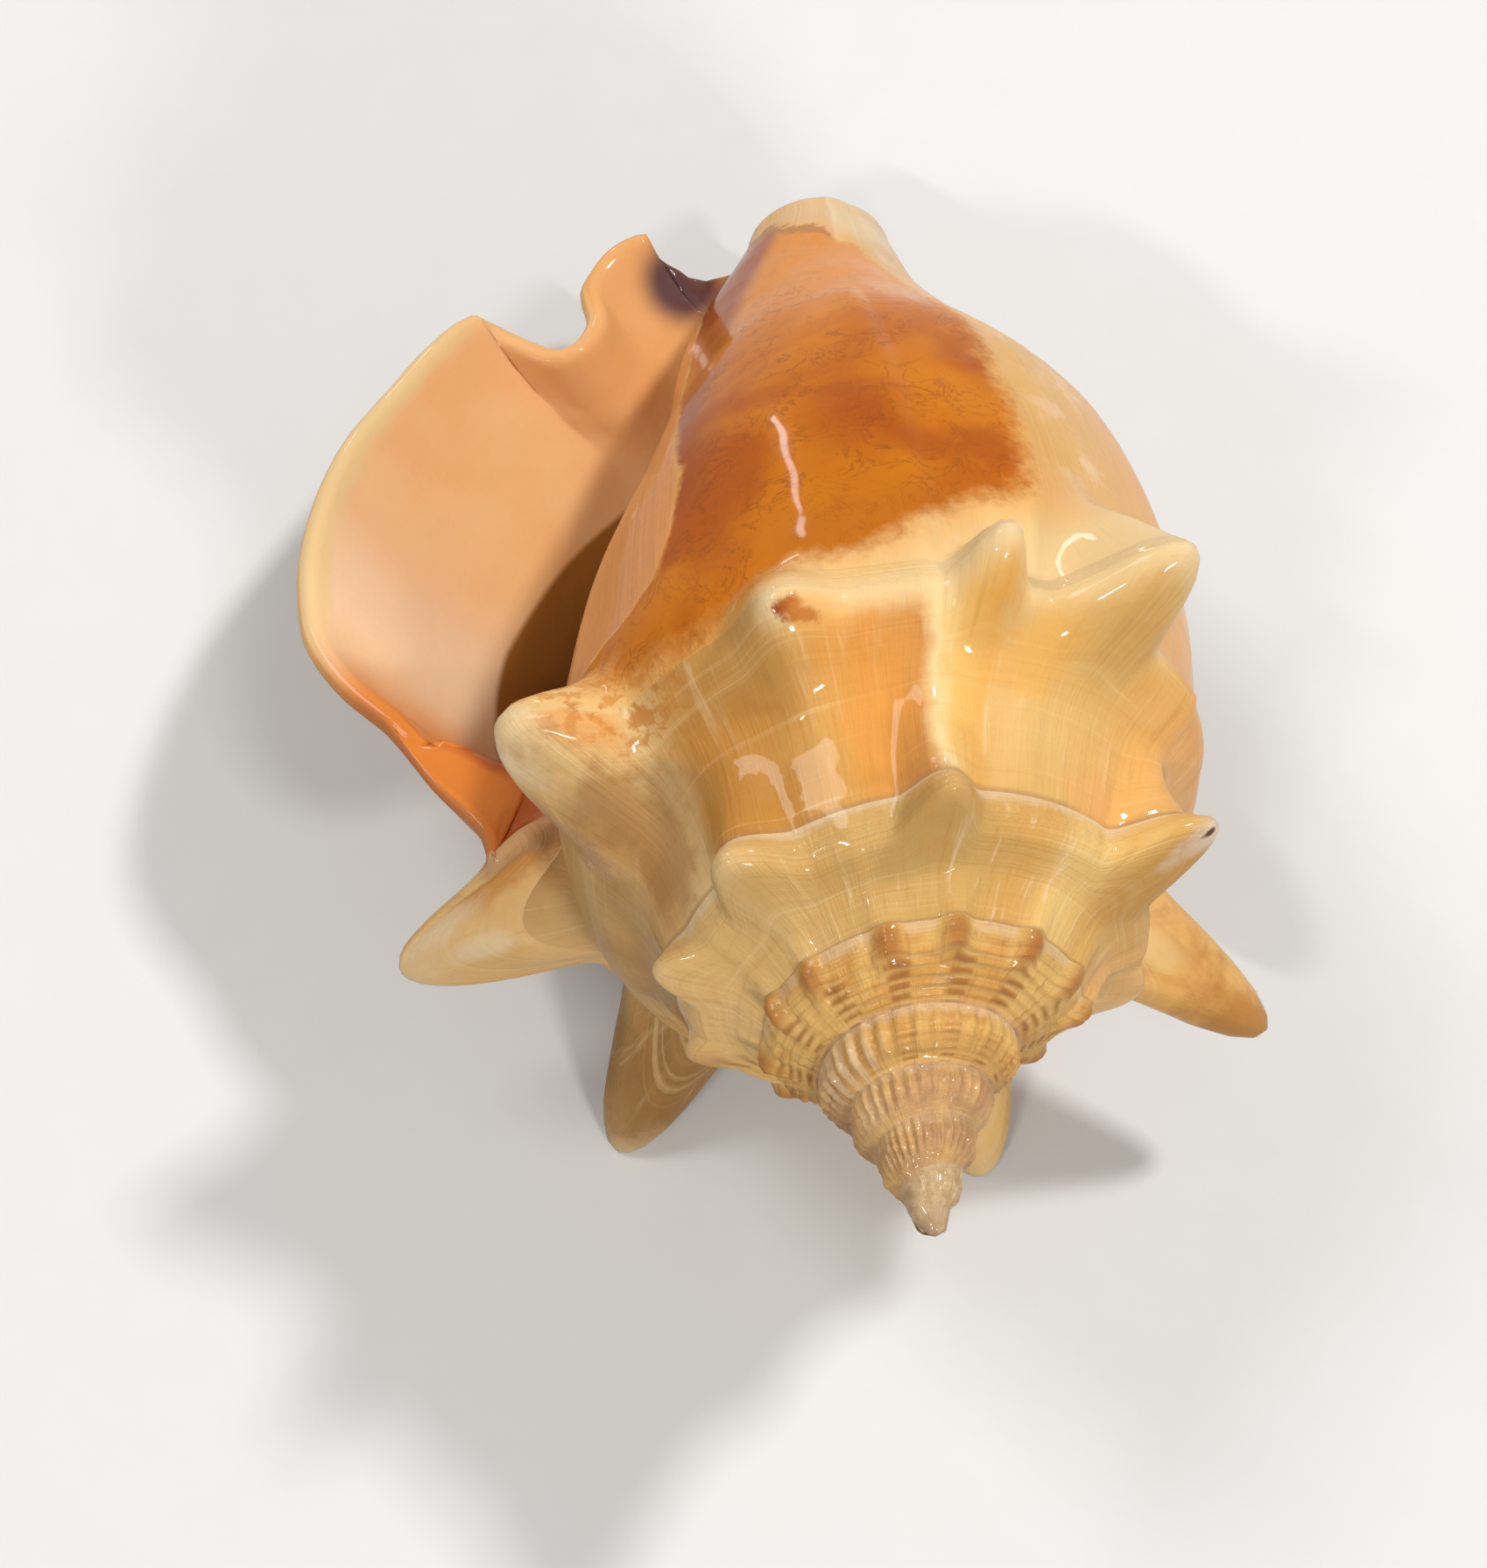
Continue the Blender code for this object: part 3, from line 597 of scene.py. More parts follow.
        marks = pad_places(rim + 1)
        self.quads(np.stack(lines, 1)[::-1], np.repeat(marks[:, None], len(lines), 1)[::-1])
        self.ladder(list(zip(lines[-1], marks)), list(zip(far_side, pad_places(len(far_side)))))
        self.ladder([self.outer(lip, j) for j in range(rim, front + 1)],
                    [(corners[-1], marks[-1]) for corners in lines[1:]]
                    + [(inner[-1, j], inner_places[-1, j]) for j in range(pad, last + 1)])
        self.ladder([(inner[0, j], inner_places[0, j]) for j in range(last + 1)],
                    [self.outer(self.core, j) for j in range(self.roof, front + 1)])

    def add_front_end(self):
        """The front end closes to a blunt tip."""
        first = self.ids[self.body:, self.front][:-1]
        ring_marks = self.places[self.body:, self.front][:-1]
        rim = self.points[first]
        middle = rim.mean(axis=0)
        rings = [first]
        for k in range(1, FRONT_RINGS + 1):
            angle = k / (FRONT_RINGS + 1) * math.pi / 2
            ring = middle + (rim - middle) * math.cos(angle)
            ring[:, 2] = rim[:, 2] + (LENGTH - rim[:, 2]) * math.sin(angle)
            ring[:, :2] += FRONT_WAVES * wobble(ring[:, 0], ring[:, 2] * 2, 9)[:, None]
            rings.append(self.add(ring))
        loops = np.array([list(r) + [r[0]] for r in rings]).T
        loop_marks = np.repeat(np.concatenate([ring_marks, ring_marks[:1]])[:, None], len(rings), 1)
        self.quads(loops, loop_marks)
        peak = int(self.add(np.array([middle[0], middle[1], LENGTH])))
        end = list(rings[-1]) + [rings[-1][0]]
        for a, b, mark in zip(end, end[1:], ring_marks):
            self.faces.append([a, b, peak])
            self.marks.append([mark] * 3)

    def add_spire_tip(self):
        """The oldest end of the strip closes to a small blunt point."""
        kept = np.r_[0:RAMP_STEPS:COARSER[-4], RAMP_STEPS:self.suture + 1:WALL_STEPS // 2]
        start = [self.outer(i, 0) for i in range(self.per_turn + 1)]
        start += [self.outer(0, j) for j in kept[:0:-1]]
        start = [step for n, step in enumerate(start) if step[0] != start[n - 1][0]]
        apex = int(self.add(np.zeros(3)))
        blunt = self.add(self.points[[corner for corner, _ in start]] * TIP_BLUNT)
        for n, (corner, mark) in enumerate(start):
            after = (n + 1) % len(start)
            following, next_mark = start[after]
            self.faces += [[blunt[n], blunt[after], following, corner], [apex, blunt[after], blunt[n]]]
            self.marks += [[mark, next_mark, next_mark, mark], [mark, next_mark, mark]]


# --- where the colours lie, as plain measures that the material reads

# (row, turn) along the sides of the glossy callus on the front of the body, and (turn, row) along its
# foot and its front
CALLUS_LEFT = [(2.0, -0.915), (2.04, -0.900), (2.07, -0.865), (2.13, -0.846), (2.22, -0.834),
               (2.32, -0.829), (2.4, -0.838), (2.5, -0.847), (2.6, -0.866), (2.7, -0.885),
               (2.8, -0.897), (2.9, -0.92), (3.0, -0.935)]
CALLUS_RIGHT = [(2.0, -0.665), (2.15, -0.660), (2.25, -0.656), (2.35, -0.654), (2.5, -0.652),
                (2.62, -0.652), (2.7, -0.650), (2.8, -0.648), (2.9, -0.650), (2.95, -0.66), (3.0, -0.70)]
CALLUS_FOOT = [(-0.93, 1.9), (-0.89, 1.8), (-0.86, 1.3), (-0.835, 1.1), (-0.81, 1.3), (-0.79, 1.9),
               (-0.775, 2.005), (-0.755, 2.015), (-0.735, 2.04), (-0.71, 2.085), (-0.69, 2.13),
               (-0.66, 2.17), (-0.62, 2.2)]
CALLUS_FRONT = [(-0.93, 2.99), (-0.847, 2.973), (-0.79, 2.95), (-0.73, 2.935), (-0.714, 2.88),
                (-0.69, 2.845), (-0.672, 2.80), (-0.663, 2.76), (-0.65, 2.71)]
# (row, turn) where the lip's pale face turns dark
THROAT_EDGE = [(2.0, -0.054), (2.2, -0.061), (2.296, -0.068), (2.355, -0.073), (2.422, -0.082),
               (2.506, -0.093), (2.555, -0.101), (2.65, -0.12), (2.8, -0.15), (3.0, -0.16)]
SALMON_ROW = 2.04  # the band of salmon starts here
LAST_COVERED = -0.95  # older side wall than this lies inside the throat
CANAL = np.array([-7.6, -1.8, 85.4])  # middle of the stain in the front canal
STAIN_REACH = 3.4
SIDE_MM, WALL_MM = 40, 3  # rough millimetres per row past row 2 and before it
LIP_MM = 150  # rough millimetres per turn at the lip
FAR = 10  # measures are cut off this many millimetres away


def line(rows, at):
    rows = np.array(rows, float)
    return np.interp(at, rows[:, 0], rows[:, 1])


def past_wall(row):
    """Rough millimetres past row 2."""
    return np.where(row > 2, (row - 2) * SIDE_MM, (row - 2) * WALL_MM)


def measures(turn, row, layer, point):
    """Named numbers at each face corner, from its place on the strip and in the shell."""
    is_outer = layer < 0.5
    place = profile(turn, np.clip(row, 0, 3))
    tips = np.zeros(turn.shape)
    for spine in all_spines():
        near = (np.abs(turn - spine[0]) < SPINE_TURNS) & is_outer & (row < 2.6)
        if near.any():
            far = spine_distance(turn[near], row[near], place[near], spine)
            tips[near] = np.maximum(tips[near], 1 - far)

    # Millimetres inside the callus and the salmon band, the callus frayed less on its left
    around = ROUND * place[:, 0]
    in_left = (turn - line(CALLUS_LEFT, row)) * around
    in_right = (line(CALLUS_RIGHT, row) - turn) * around
    down = past_wall(row) - past_wall(line(CALLUS_FOOT, turn))
    up = (line(CALLUS_FRONT, turn) - row) * SIDE_MM
    callus = np.minimum(np.minimum(in_left * 3, in_right), np.minimum(down, up))
    callus = np.where(is_outer & (turn > -1.0) & (row > 1.0), np.clip(callus, -FAR, FAR), -FAR)
    salmon = np.minimum(-in_left, (row - SALMON_ROW) * SIDE_MM)
    salmon = np.where(is_outer & (turn > -1.8) & (row > 2), np.clip(salmon, -FAR, FAR), -FAR)

    covered = is_outer & (row > 2) & (turn < LAST_COVERED)
    throat = np.clip((line(THROAT_EDGE, row) - turn) * around, -5, 60)
    deep = np.where(covered, (LAST_COVERED - turn) * around, np.where(is_outer, 0.0, throat))
    stain = np.exp(-(np.linalg.norm(point - CANAL, axis=1) / STAIN_REACH) ** 2)
    return {"turn": turn, "row": row, "lip": np.where(is_outer, 0.0, 1.0), "tips": tips,
            "callus": callus, "salmon": salmon, "deep": deep, "stain": stain, "edge": -turn * LIP_MM}


def add_object(name, data):
    made = bpy.data.objects.new(name, data)
    bpy.context.scene.collection.objects.link(made)
    return made


def shell_object(mesh):
    data = bpy.data.meshes.new("conch_shell")
    spots = placed(mesh.points)
    spots[:, 2] = np.maximum(spots[:, 2], 0)
    data.from_pydata(spots.tolist(), [], mesh.faces)
    marks = np.array([m for face in mesh.marks for m in face], float)
    corners = np.array([c for face in mesh.faces for c in face])
    named = measures(marks[:, 0], marks[:, 1], marks[:, 2], mesh.points[corners])
    for name, values in named.items():
        data.attributes.new(name, "FLOAT", "CORNER").data.foreach_set("value", values.astype(np.float32))
    data.polygons.foreach_set("use_smooth", [True] * len(data.polygons))
    data.update()
    return add_object("conch_shell", data)


# --- materials

class Nodes:
    """Short ways to wire one tree of nodes."""

    def __init__(self, tree):
        self.tree = tree

    def put(self, socket, value):
        if isinstance(value, bpy.types.NodeSocket):
            self.tree.links.new(value, socket)
        elif isinstance(value, tuple) and len(value) == 3 and socket.type == "RGBA":
            socket.default_value = value + (1,)
        else:
            socket.default_value = value

    def fill(self, node, inputs):
        """Puts values on a node's inputs, given by name or number."""
        for key, value in dict(inputs).items():
            self.put(node.inputs[key], value)

    def new(self, kind, inputs=(), **settings):
        node = self.tree.nodes.new(kind)
        for key, value in settings.items():
            setattr(node, key, value)
        self.fill(node, inputs)
        return node

    def measure(self, name):
        return self.new("ShaderNodeAttribute", attribute_name=name).outputs["Fac"]

    def math(self, kind, a, b=0.0, c=0.0):
        return self.new("ShaderNodeMath", enumerate((a, b, c)), operation=kind).outputs[0]

    def times(self, first, *others):
        for other in others:
            first = self.math("MULTIPLY", first, other)
        return first

    def plus(self, value, noise, amount):
        """value and amount times the noise."""
        return self.math("MULTIPLY_ADD", noise, amount, value)

    def even(self, noise, amount):
        """The noise about 0 instead of 0.5, amount times as strong."""
        return self.times(self.math("SUBTRACT", noise, 0.5), amount)

    def between(self, value, low, high, first=0.0, second=1.0):
        """Eased from first to second as value goes from low to high."""
        inputs = {"Value": value, "From Min": low, "From Max": high, "To Min": first, "To Max": second}
        return self.new("ShaderNodeMapRange", inputs, interpolation_type="SMOOTHSTEP").outputs["Result"]

    def past(self, value, *edges):
        """1 where value is past every edge, each given as (where it starts, where it is full)."""
        return self.times(*(self.between(value, start, full) for start, full in edges))

    def mix(self, share, a, b):
        return self.new("ShaderNodeMix", {0: share, 6: a, 7: b}, data_type="RGBA").outputs[2]

    def vector(self, *xyz):
        return self.new("ShaderNodeCombineXYZ", enumerate(xyz)).outputs[0]

    def spot(self, at, reach, ragged=0.0):
        """1 at a (turn, row) of the strip, fading to 0 at its (turn, row) reach."""
        far = 0.0
        for value, middle, half in zip((self.turn, self.row), at, reach):
            off = self.math("DIVIDE", self.math("SUBTRACT", value, middle), half)
            far = self.math("MULTIPLY_ADD", off, off, far)
        return self.between(self.math("ADD", self.math("SQRT", far), ragged), 1.0, 0.35)

    def noise(self, place, scale, detail=3.0, rough=0.55, distortion=0.0):
        inputs = {"Vector": place, "Scale": scale, "Detail": detail, "Roughness": rough,
                  "Distortion": distortion}
        return self.new("ShaderNodeTexNoise", inputs).outputs["Fac"]


class Material(Nodes):
    def __init__(self, name):
        self.made = bpy.data.materials.new(name)
        self.made.use_nodes = True
        super().__init__(self.made.node_tree)
        self.surface = self.tree.nodes["Principled BSDF"]


# The outside's colour by turn on the last two whorls, as bands laid down while it grew, with a few stops
# of painted shade and painted highlight
GROWTH = [(-2.1, (0.74, 0.47, 0.19)), (-1.96, (0.8, 0.5, 0.19)), (-1.9, (0.7, 0.44, 0.16)),
          (-1.78, (0.62, 0.37, 0.12)), (-1.7, (0.6, 0.36, 0.11)), (-1.645, (0.66, 0.36, 0.1)),
          (-1.6, (0.82, 0.54, 0.19)), (-1.54, (0.64, 0.35, 0.085)), (-1.45, (0.76, 0.42, 0.15)),
          # The stop at -1.00 is painted shade on the ramp behind the first spine.
          (-1.3, (0.8, 0.5, 0.2)), (-1.1, (0.72, 0.42, 0.15)), (-1.00, (0.4, 0.2, 0.06)),
          # The stops at -0.93 and -0.89 are the first spine's pale colour, lightened further as a painted
          # highlight.
          (-0.93, (0.6, 0.34, 0.12)), (-0.89, (0.86, 0.6, 0.27)), (-0.84, (0.5, 0.21, 0.035)),
          (-0.8, (0.53, 0.25, 0.045)), (-0.765, (0.68, 0.33, 0.07)), (-0.745, (0.66, 0.27, 0.05)),
          (-0.718, (0.6, 0.22, 0.035)), (-0.713, (0.9, 0.68, 0.34)), (-0.704, (0.84, 0.5, 0.14)),
          (-0.69, (0.78, 0.38, 0.07)), (-0.684, (0.71, 0.42, 0.135)), (-0.62, (0.71, 0.42, 0.13)),
          (-0.575, (0.76, 0.4, 0.11)), (-0.54, (0.76, 0.34, 0.1)), (-0.46, (0.82, 0.45, 0.17)),
          # The stop at -0.14 is brown, darkened further as painted shade where the seventh spine lies
          # under the last whorl.
          (-0.38, (0.78, 0.42, 0.12)), (-0.28, (0.8, 0.47, 0.16)), (-0.14, (0.3, 0.15, 0.045)),
          (-0.09, (0.72, 0.42, 0.15)), (0.0, (0.8, 0.49, 0.2))]

# Marks of the last two whorls: (turn, row) of the middle, its reach, strength, colour
MARKS = [
    # beside the first spine, below the callus
    ((-0.886, 0.93), (0.016, 0.26), 0.6, (0.72, 0.27, 0.05)),
    ((-0.906, 0.95), (0.009, 0.3), 0.45, (0.8, 0.44, 0.04)),
    # the first spine's pale tip, lightened further as a painted highlight
    ((-0.912, 1.02), (0.02, 0.45), 0.55, (0.9, 0.72, 0.46)),
    # on the front of the last whorl
    ((-0.765, 0.9), (0.02, 0.14), 0.5, (0.8, 0.36, 0.07)),
    ((-0.745, 0.45), (0.036, 0.55), 0.75, (0.78, 0.33, 0.06)),
    ((-0.66, 0.66), (0.022, 0.26), 0.55, (0.82, 0.42, 0.08)),
    ((-0.6, 0.08), (0.03, 0.22), 0.6, (0.8, 0.38, 0.12)),
    # painted shade: dark tan patches on the ramp beside the first spine, where it lies in shade
    ((-0.825, 0.36), (0.05, 0.6), 0.65, (0.5, 0.22, 0.04)),
    ((-0.905, 0.42), (0.045, 0.6), 0.72, (0.38, 0.16, 0.035)),
    # on the whorl before: brown on the ridge of its large spine, chalk white at the broken point
    ((-1.716, 1.08), (0.03, 0.5), 0.6, (0.58, 0.3, 0.08)),
    ((-1.545, 0.75), (0.036, 0.55), 0.5, (0.52, 0.24, 0.05)),
    ((-1.552, 1.02), (0.012, 0.34), 1.00, (0.72, 0.56, 0.42)),
    # on the last spines, and orange tan at the root beside the lip
    ((-0.39, 0.82), (0.022, 0.36), 0.85, (0.46, 0.19, 0.035)),
    ((-0.415, 0.5), (0.02, 0.3), 0.6, (0.88, 0.64, 0.29)),
    ((-0.021, 0.52), (0.019, 0.55), 0.9, (0.6, 0.27, 0.06))]


class Paint:
    """A colour with others laid over it, one after another."""

    def __init__(self, n, first):
        self.n, self.colour = n, first

    def lay(self, colour, *shares, **limits):
        """As strong as the product of its shares and limits, each limit being field=(start, full)."""
        n = self.n
        shares += tuple(n.between(getattr(n, field), *limit) for field, limit in limits.items())
        self.colour = n.mix(n.times(*shares), self.colour, colour)


# name, scale, detail, roughness, distortion
NOISES = [("broad", 90, 2), ("cloudy", 260, 4, 0.6), ("fine", 1500, 4, 0.6), ("speckle", 900, 3, 0.6, 0.5)]


def plain_outside(n):
    """Cream, straw and tan of the last two whorls, with growth lines, threads and pale worn places, and
    some painted shade and highlight in its bands and along the seam beside the lip.
    """
    ramp = n.new("ShaderNodeValToRGB")
    ramp.color_ramp.interpolation = "EASE"
    stops = ramp.color_ramp.elements
    low, high = GROWTH[0][0], GROWTH[-1][0]
    for i, (turn, colour) in enumerate(GROWTH):
        at = (turn - low) / (high - low)
        stop = stops[i] if i < 2 else stops.new(at)
        stop.position, stop.color = at, colour + (1,)
    uneven = n.math("ADD", n.turn, n.even(n.cloudy, 0.022))
    n.fill(ramp, {"Fac": n.math("DIVIDE", n.math("SUBTRACT", uneven, low), high - low)})
    base = Paint(n, ramp.outputs["Color"])
    base.lay((0.86, 0.6, 0.27), 0.3, broad=(0.35, 0.7))
    base.lay((0.66, 0.31, 0.06), 0.28, cloudy=(0.5, 0.75))
    base.lay((0.9, 0.68, 0.38), 0.4, growth=(0.56, 0.74))
    base.lay((0.56, 0.26, 0.06), 0.42, growth=(0.46, 0.28))
    base.lay((0.58, 0.29, 0.07), 0.24, spiral=(0.52, 0.74))
    base.lay((0.88, 0.64, 0.32), 0.3, spiral=(0.44, 0.3))
    base.lay((0.9, 0.7, 0.46), 0.45, n.spot((-1.63, 0.5), (0.11, 1.1)), growth=(0.54, 0.66))

    # Whiter along the shoulder between the spines of the front, pinkish on the right and below
    base.lay((0.84, 0.6, 0.3), 0.9, n.between(n.plus(n.row, n.cloudy, 0.16), 0.88, 1.05),
             n.past(n.turn, (-0.8, -0.775), (-0.575, -0.62)), row=(2.25, 2.06))
    base.lay((0.82, 0.42, 0.15), n.plus(0.25, n.growth, 0.5), turn=(-0.64, -0.56), row=(1.6, 2.1))

    # Pinkish and white mottling beside the callus, and a white cap at the front end
    beside = n.times(n.past(n.turn, (-0.668, -0.645), (-0.44, -0.54)), n.between(n.row, 2.06, 2.22))
    base.lay((0.82, 0.42, 0.19), beside, broad=(0.4, 0.6, 0.2, 0.7))
    base.lay((0.9, 0.66, 0.42), beside, cloudy=(0.49, 0.66, 0.0, 0.5))
    base.lay((0.86, 0.66, 0.42), 0.65, row=(2.8, 2.95))

    # Between the spines the foot of each whorl is glazed lilac white, and near the lip a fine brown line
    # of painted shade runs along its seam under the overhang
    foot = n.between(n.plus(n.row, n.cloudy, 0.8), 2.0, 2.35)
    base.lay((0.78, 0.62, 0.44), 0.5, foot, turn=(-1.15, -1.5))
    base.lay((0.4, 0.21, 0.1), 0.6, row=(0.035, 0.008), turn=(-0.03, -0.2))

    # Pale at the tips of the spines
    tip = n.between(n.math("ADD", n.tips, n.even(n.cloudy, 0.4)), 0.62, 0.95)
    base.lay((0.77, 0.57, 0.31), tip, turn=(-1.5, -1.2, 0.35, 0.8))
    return base.colour


def small_marks(n, first):
    """Spots, stains and worn places of the last two whorls, and spots of painted shade and highlight, each
    at its own turn and row.
    """
    base = Paint(n, first)
    grain, mottle = n.even(n.fine, 1.2), n.even(n.cloudy, 1.5)

    # Burnt orange and brown speckles where the callus thins out over the first spine
    near = n.spot((-0.868, 1.35), (0.06, 0.9))
    base.lay((0.5, 0.17, 0.02), 0.8, near, n.between(n.plus(n.speckle, near, 0.14), 0.58, 0.72))

    # A rust-red mark on the second spine, and flecks on the third
    base.lay((0.28, 0.032, 0.003), n.math("MAXIMUM", n.spot((-0.777, 0.93), (0.008, 0.075), grain),
                                          n.spot((-0.773, 0.885), (0.01, 0.055), grain)))
    base.lay((0.78, 0.34, 0.08), 0.5, n.spot((-0.679, 0.82), (0.008, 0.16)), speckle=(0.5, 0.62))

    for at, reach, strength, colour in MARKS:
        base.lay(colour, strength, n.spot(at, reach, mottle))

    # A dark spot of painted shade for the hollow in the broken spine, and white where the spine beside the
    # lip is worn
    base.lay((0.12, 0.05, 0.02), n.spot((-1.5535, 0.93), (0.0026, 0.065), grain))
    base.lay((0.82, 0.64, 0.4), 0.7, n.math("MAXIMUM", n.spot((-0.036, 0.72), (0.014, 0.4), mottle),
                                             n.spot((-0.052, 0.25), (0.009, 0.34), mottle)))

    # A film of lilac glaze beside the lip's rear corner
    film = n.times(n.between(n.turn, -0.017, -0.01), n.between(n.row, 1.5, 1.1))
    film = n.math("MAXIMUM", n.spot((-0.945, 0.86), (0.022, 0.24), grain), film)
    base.lay((0.44, 0.22, 0.12), 0.6, film)
    return base.colour


def spire_colour(n):
    """The older whorls: ochre with brown dashes on the cords, lilac grey in places, pale at the tip."""
    m = n.math
    out = Paint(n, n.mix(n.between(n.cloudy, 0.35, 0.7), (0.76, 0.46, 0.14), (0.62, 0.3, 0.07)))
    young = n.between(n.turn, -4.0, -3.7)
    knobs = m("COSINE", n.times(m("ADD", n.turn, -KNOB_FIRST - 0.012), ROUND * KNOBS_PER_TURN))
    dashes = n.between(n.plus(n.cord, n.cloudy, 3.0), 0.6, 2.6)
    out.lay((0.34, 0.13, 0.03), 0.85, young, dashes, n.between(n.plus(knobs, n.growth, 2.2), 0.9, 2.0),
            row=(1.0, 0.7))
    out.lay((0.46, 0.2, 0.055), 0.55, growth=(0.52, 0.68))
    out.lay((0.84, 0.58, 0.28), 0.28, young, n.between(m("ADD", n.cord, n.growth), 0.0, -0.7))
    out.lay((0.43, 0.16, 0.035), 0.85, tips=(0.25, 0.85))
    foot = n.between(n.plus(n.row, n.cloudy, 0.8), 1.75, 2.1)
    out.lay((0.8, 0.58, 0.38), 0.45, foot, tips=(0.35, 0.1))

    # Tan along the middle of the fourth whorl, and pale ribs on its left
    middle = n.plus(m("ABSOLUTE", m("SUBTRACT", n.row, 0.5)), n.cloudy, 0.6)
    out.lay((0.58, 0.31, 0.09), 0.65, n.past(n.turn, (-2.95, -3.1), (-4.3, -4.0)),
            n.between(middle, 0.7, 0.45))
    ribs = m("COSINE", n.times(n.turn, ROUND * RIBS_PER_TURN))
    out.lay((0.82, 0.66, 0.46), 0.5, n.spot((-3.9, 0.7), (0.13, 1.3)),
            n.between(m("ADD", ribs, n.growth), 0.2, 0.9))

    # Toward the tip: a cream and a grey mark, worn whorls in tan and lilac, and a pale end
    out.lay((0.84, 0.68, 0.42), 0.85, n.spot((-4.88, 0.8), (0.1, 1.0), n.times(n.cloudy, 0.5)))
    out.lay((0.36, 0.21, 0.16), 0.7, n.spot((-5.85, 0.7), (0.06, 0.6), n.times(n.cloudy, 0.8)))
    worn = n.mix(n.between(n.cloudy, 0.38, 0.6), (0.74, 0.44, 0.18), (0.5, 0.28, 0.15))
    out.lay(worn, turn=(-3.75, -4.1, 0.0, 0.75))
    end = n.mix(n.between(n.fine, 0.4, 0.6), (0.64, 0.41, 0.2), (0.76, 0.54, 0.3))
    out.lay(end, n.between(n.plus(n.turn, n.cloudy, 0.5), -5.7, -6.3))
    out.lay((0.66, 0.42, 0.26), 0.4, row=(0.1, 0.02))
    return out.colour


def callus_colour(n):
    """Amber glaze: yellow toward the front, burnt orange in the middle and down the left, veined brown."""
    patch = n.noise(n.place, 75, 3, 0.5, 0.4)
    out = Paint(n, n.mix(n.between(patch, 0.4, 0.62), (0.44, 0.092, 0.001), (0.62, 0.18, 0.001)))
    out.lay((0.79, 0.25, 0.001), 0.9, n.between(n.plus(n.row, patch, 0.3), 2.48, 2.8))
    out.lay((0.33, 0.06, 0.002), 0.9, turn=(-0.8, -0.835), row=(2.18, 2.32))
    out.lay((0.42, 0.078, 0.001), 0.7, n.spot((-0.74, 2.28), (0.05, 0.16), n.times(n.cloudy, 0.6)))
    vein = n.math("ABSOLUTE", n.math("SUBTRACT", n.noise(n.place, 330, 7, 0.65, 1.6), 0.5))
    out.lay((0.24, 0.055, 0.003), n.between(vein, 0.03, 0.004), row=(2.75, 2.6, 0.3, 1.0),
            cloudy=(0.35, 0.6, 0.05, 0.55))
    blots = n.noise(n.place, 520, 6, 0.75, 0.6)
    out.lay((0.34, 0.1, 0.01), n.between(blots, 0.55, 0.7), row=(2.35, 2.0, 0.12, 0.6))
    out.lay((0.49, 0.138, 0.006), 0.75, row=(2.22, 2.08), turn=(-0.8, -0.76))
    return out.colour


def inside_colour(n):
    """The lip's face in peach, orange at its rear corner, with a paler rim, and the throat in brown that
    darkens further in as painted shade.
    """
    out = Paint(n, n.mix(n.between(n.broad, 0.35, 0.65), (0.87, 0.51, 0.225), (0.86, 0.44, 0.18)))
    out.lay((0.86, 0.62, 0.41), 0.75, n.past(n.row, (2.13, 2.2), (2.46, 2.28)),
            broad=(0.25, 0.55, 0.6, 1.0))
    low = n.plus(n.row, n.cloudy, 0.04)
    out.lay((0.66, 0.2, 0.03), n.between(low, 2.295, 2.13))
    out.lay((0.42, 0.09, 0.015), n.between(low, 2.09, 1.7))
    out.lay((0.82, 0.37, 0.11), 0.6, row=(2.66, 2.8))
    out.lay((0.8, 0.55, 0.26), n.between(n.plus(n.measure("edge"), n.cloudy, 0.6), 1.9, 0.9),
            n.past(n.row, (2.16, 2.3), (2.7, 2.55)))
    corner = n.mix(n.between(n.cloudy, 0.35, 0.65), (0.4, 0.13, 0.04), (0.56, 0.27, 0.13))
    out.lay(corner, row=(1.6, 1.3))
    # The throat's brown darkens toward near black with depth: painted shade.
    throat = n.mix(n.between(n.deep, 0.5, 6.0), (0.34, 0.13, 0.025), (0.06, 0.022, 0.008))
    out.lay(throat, deep=(-0.1, 0.3))
    return out.colour


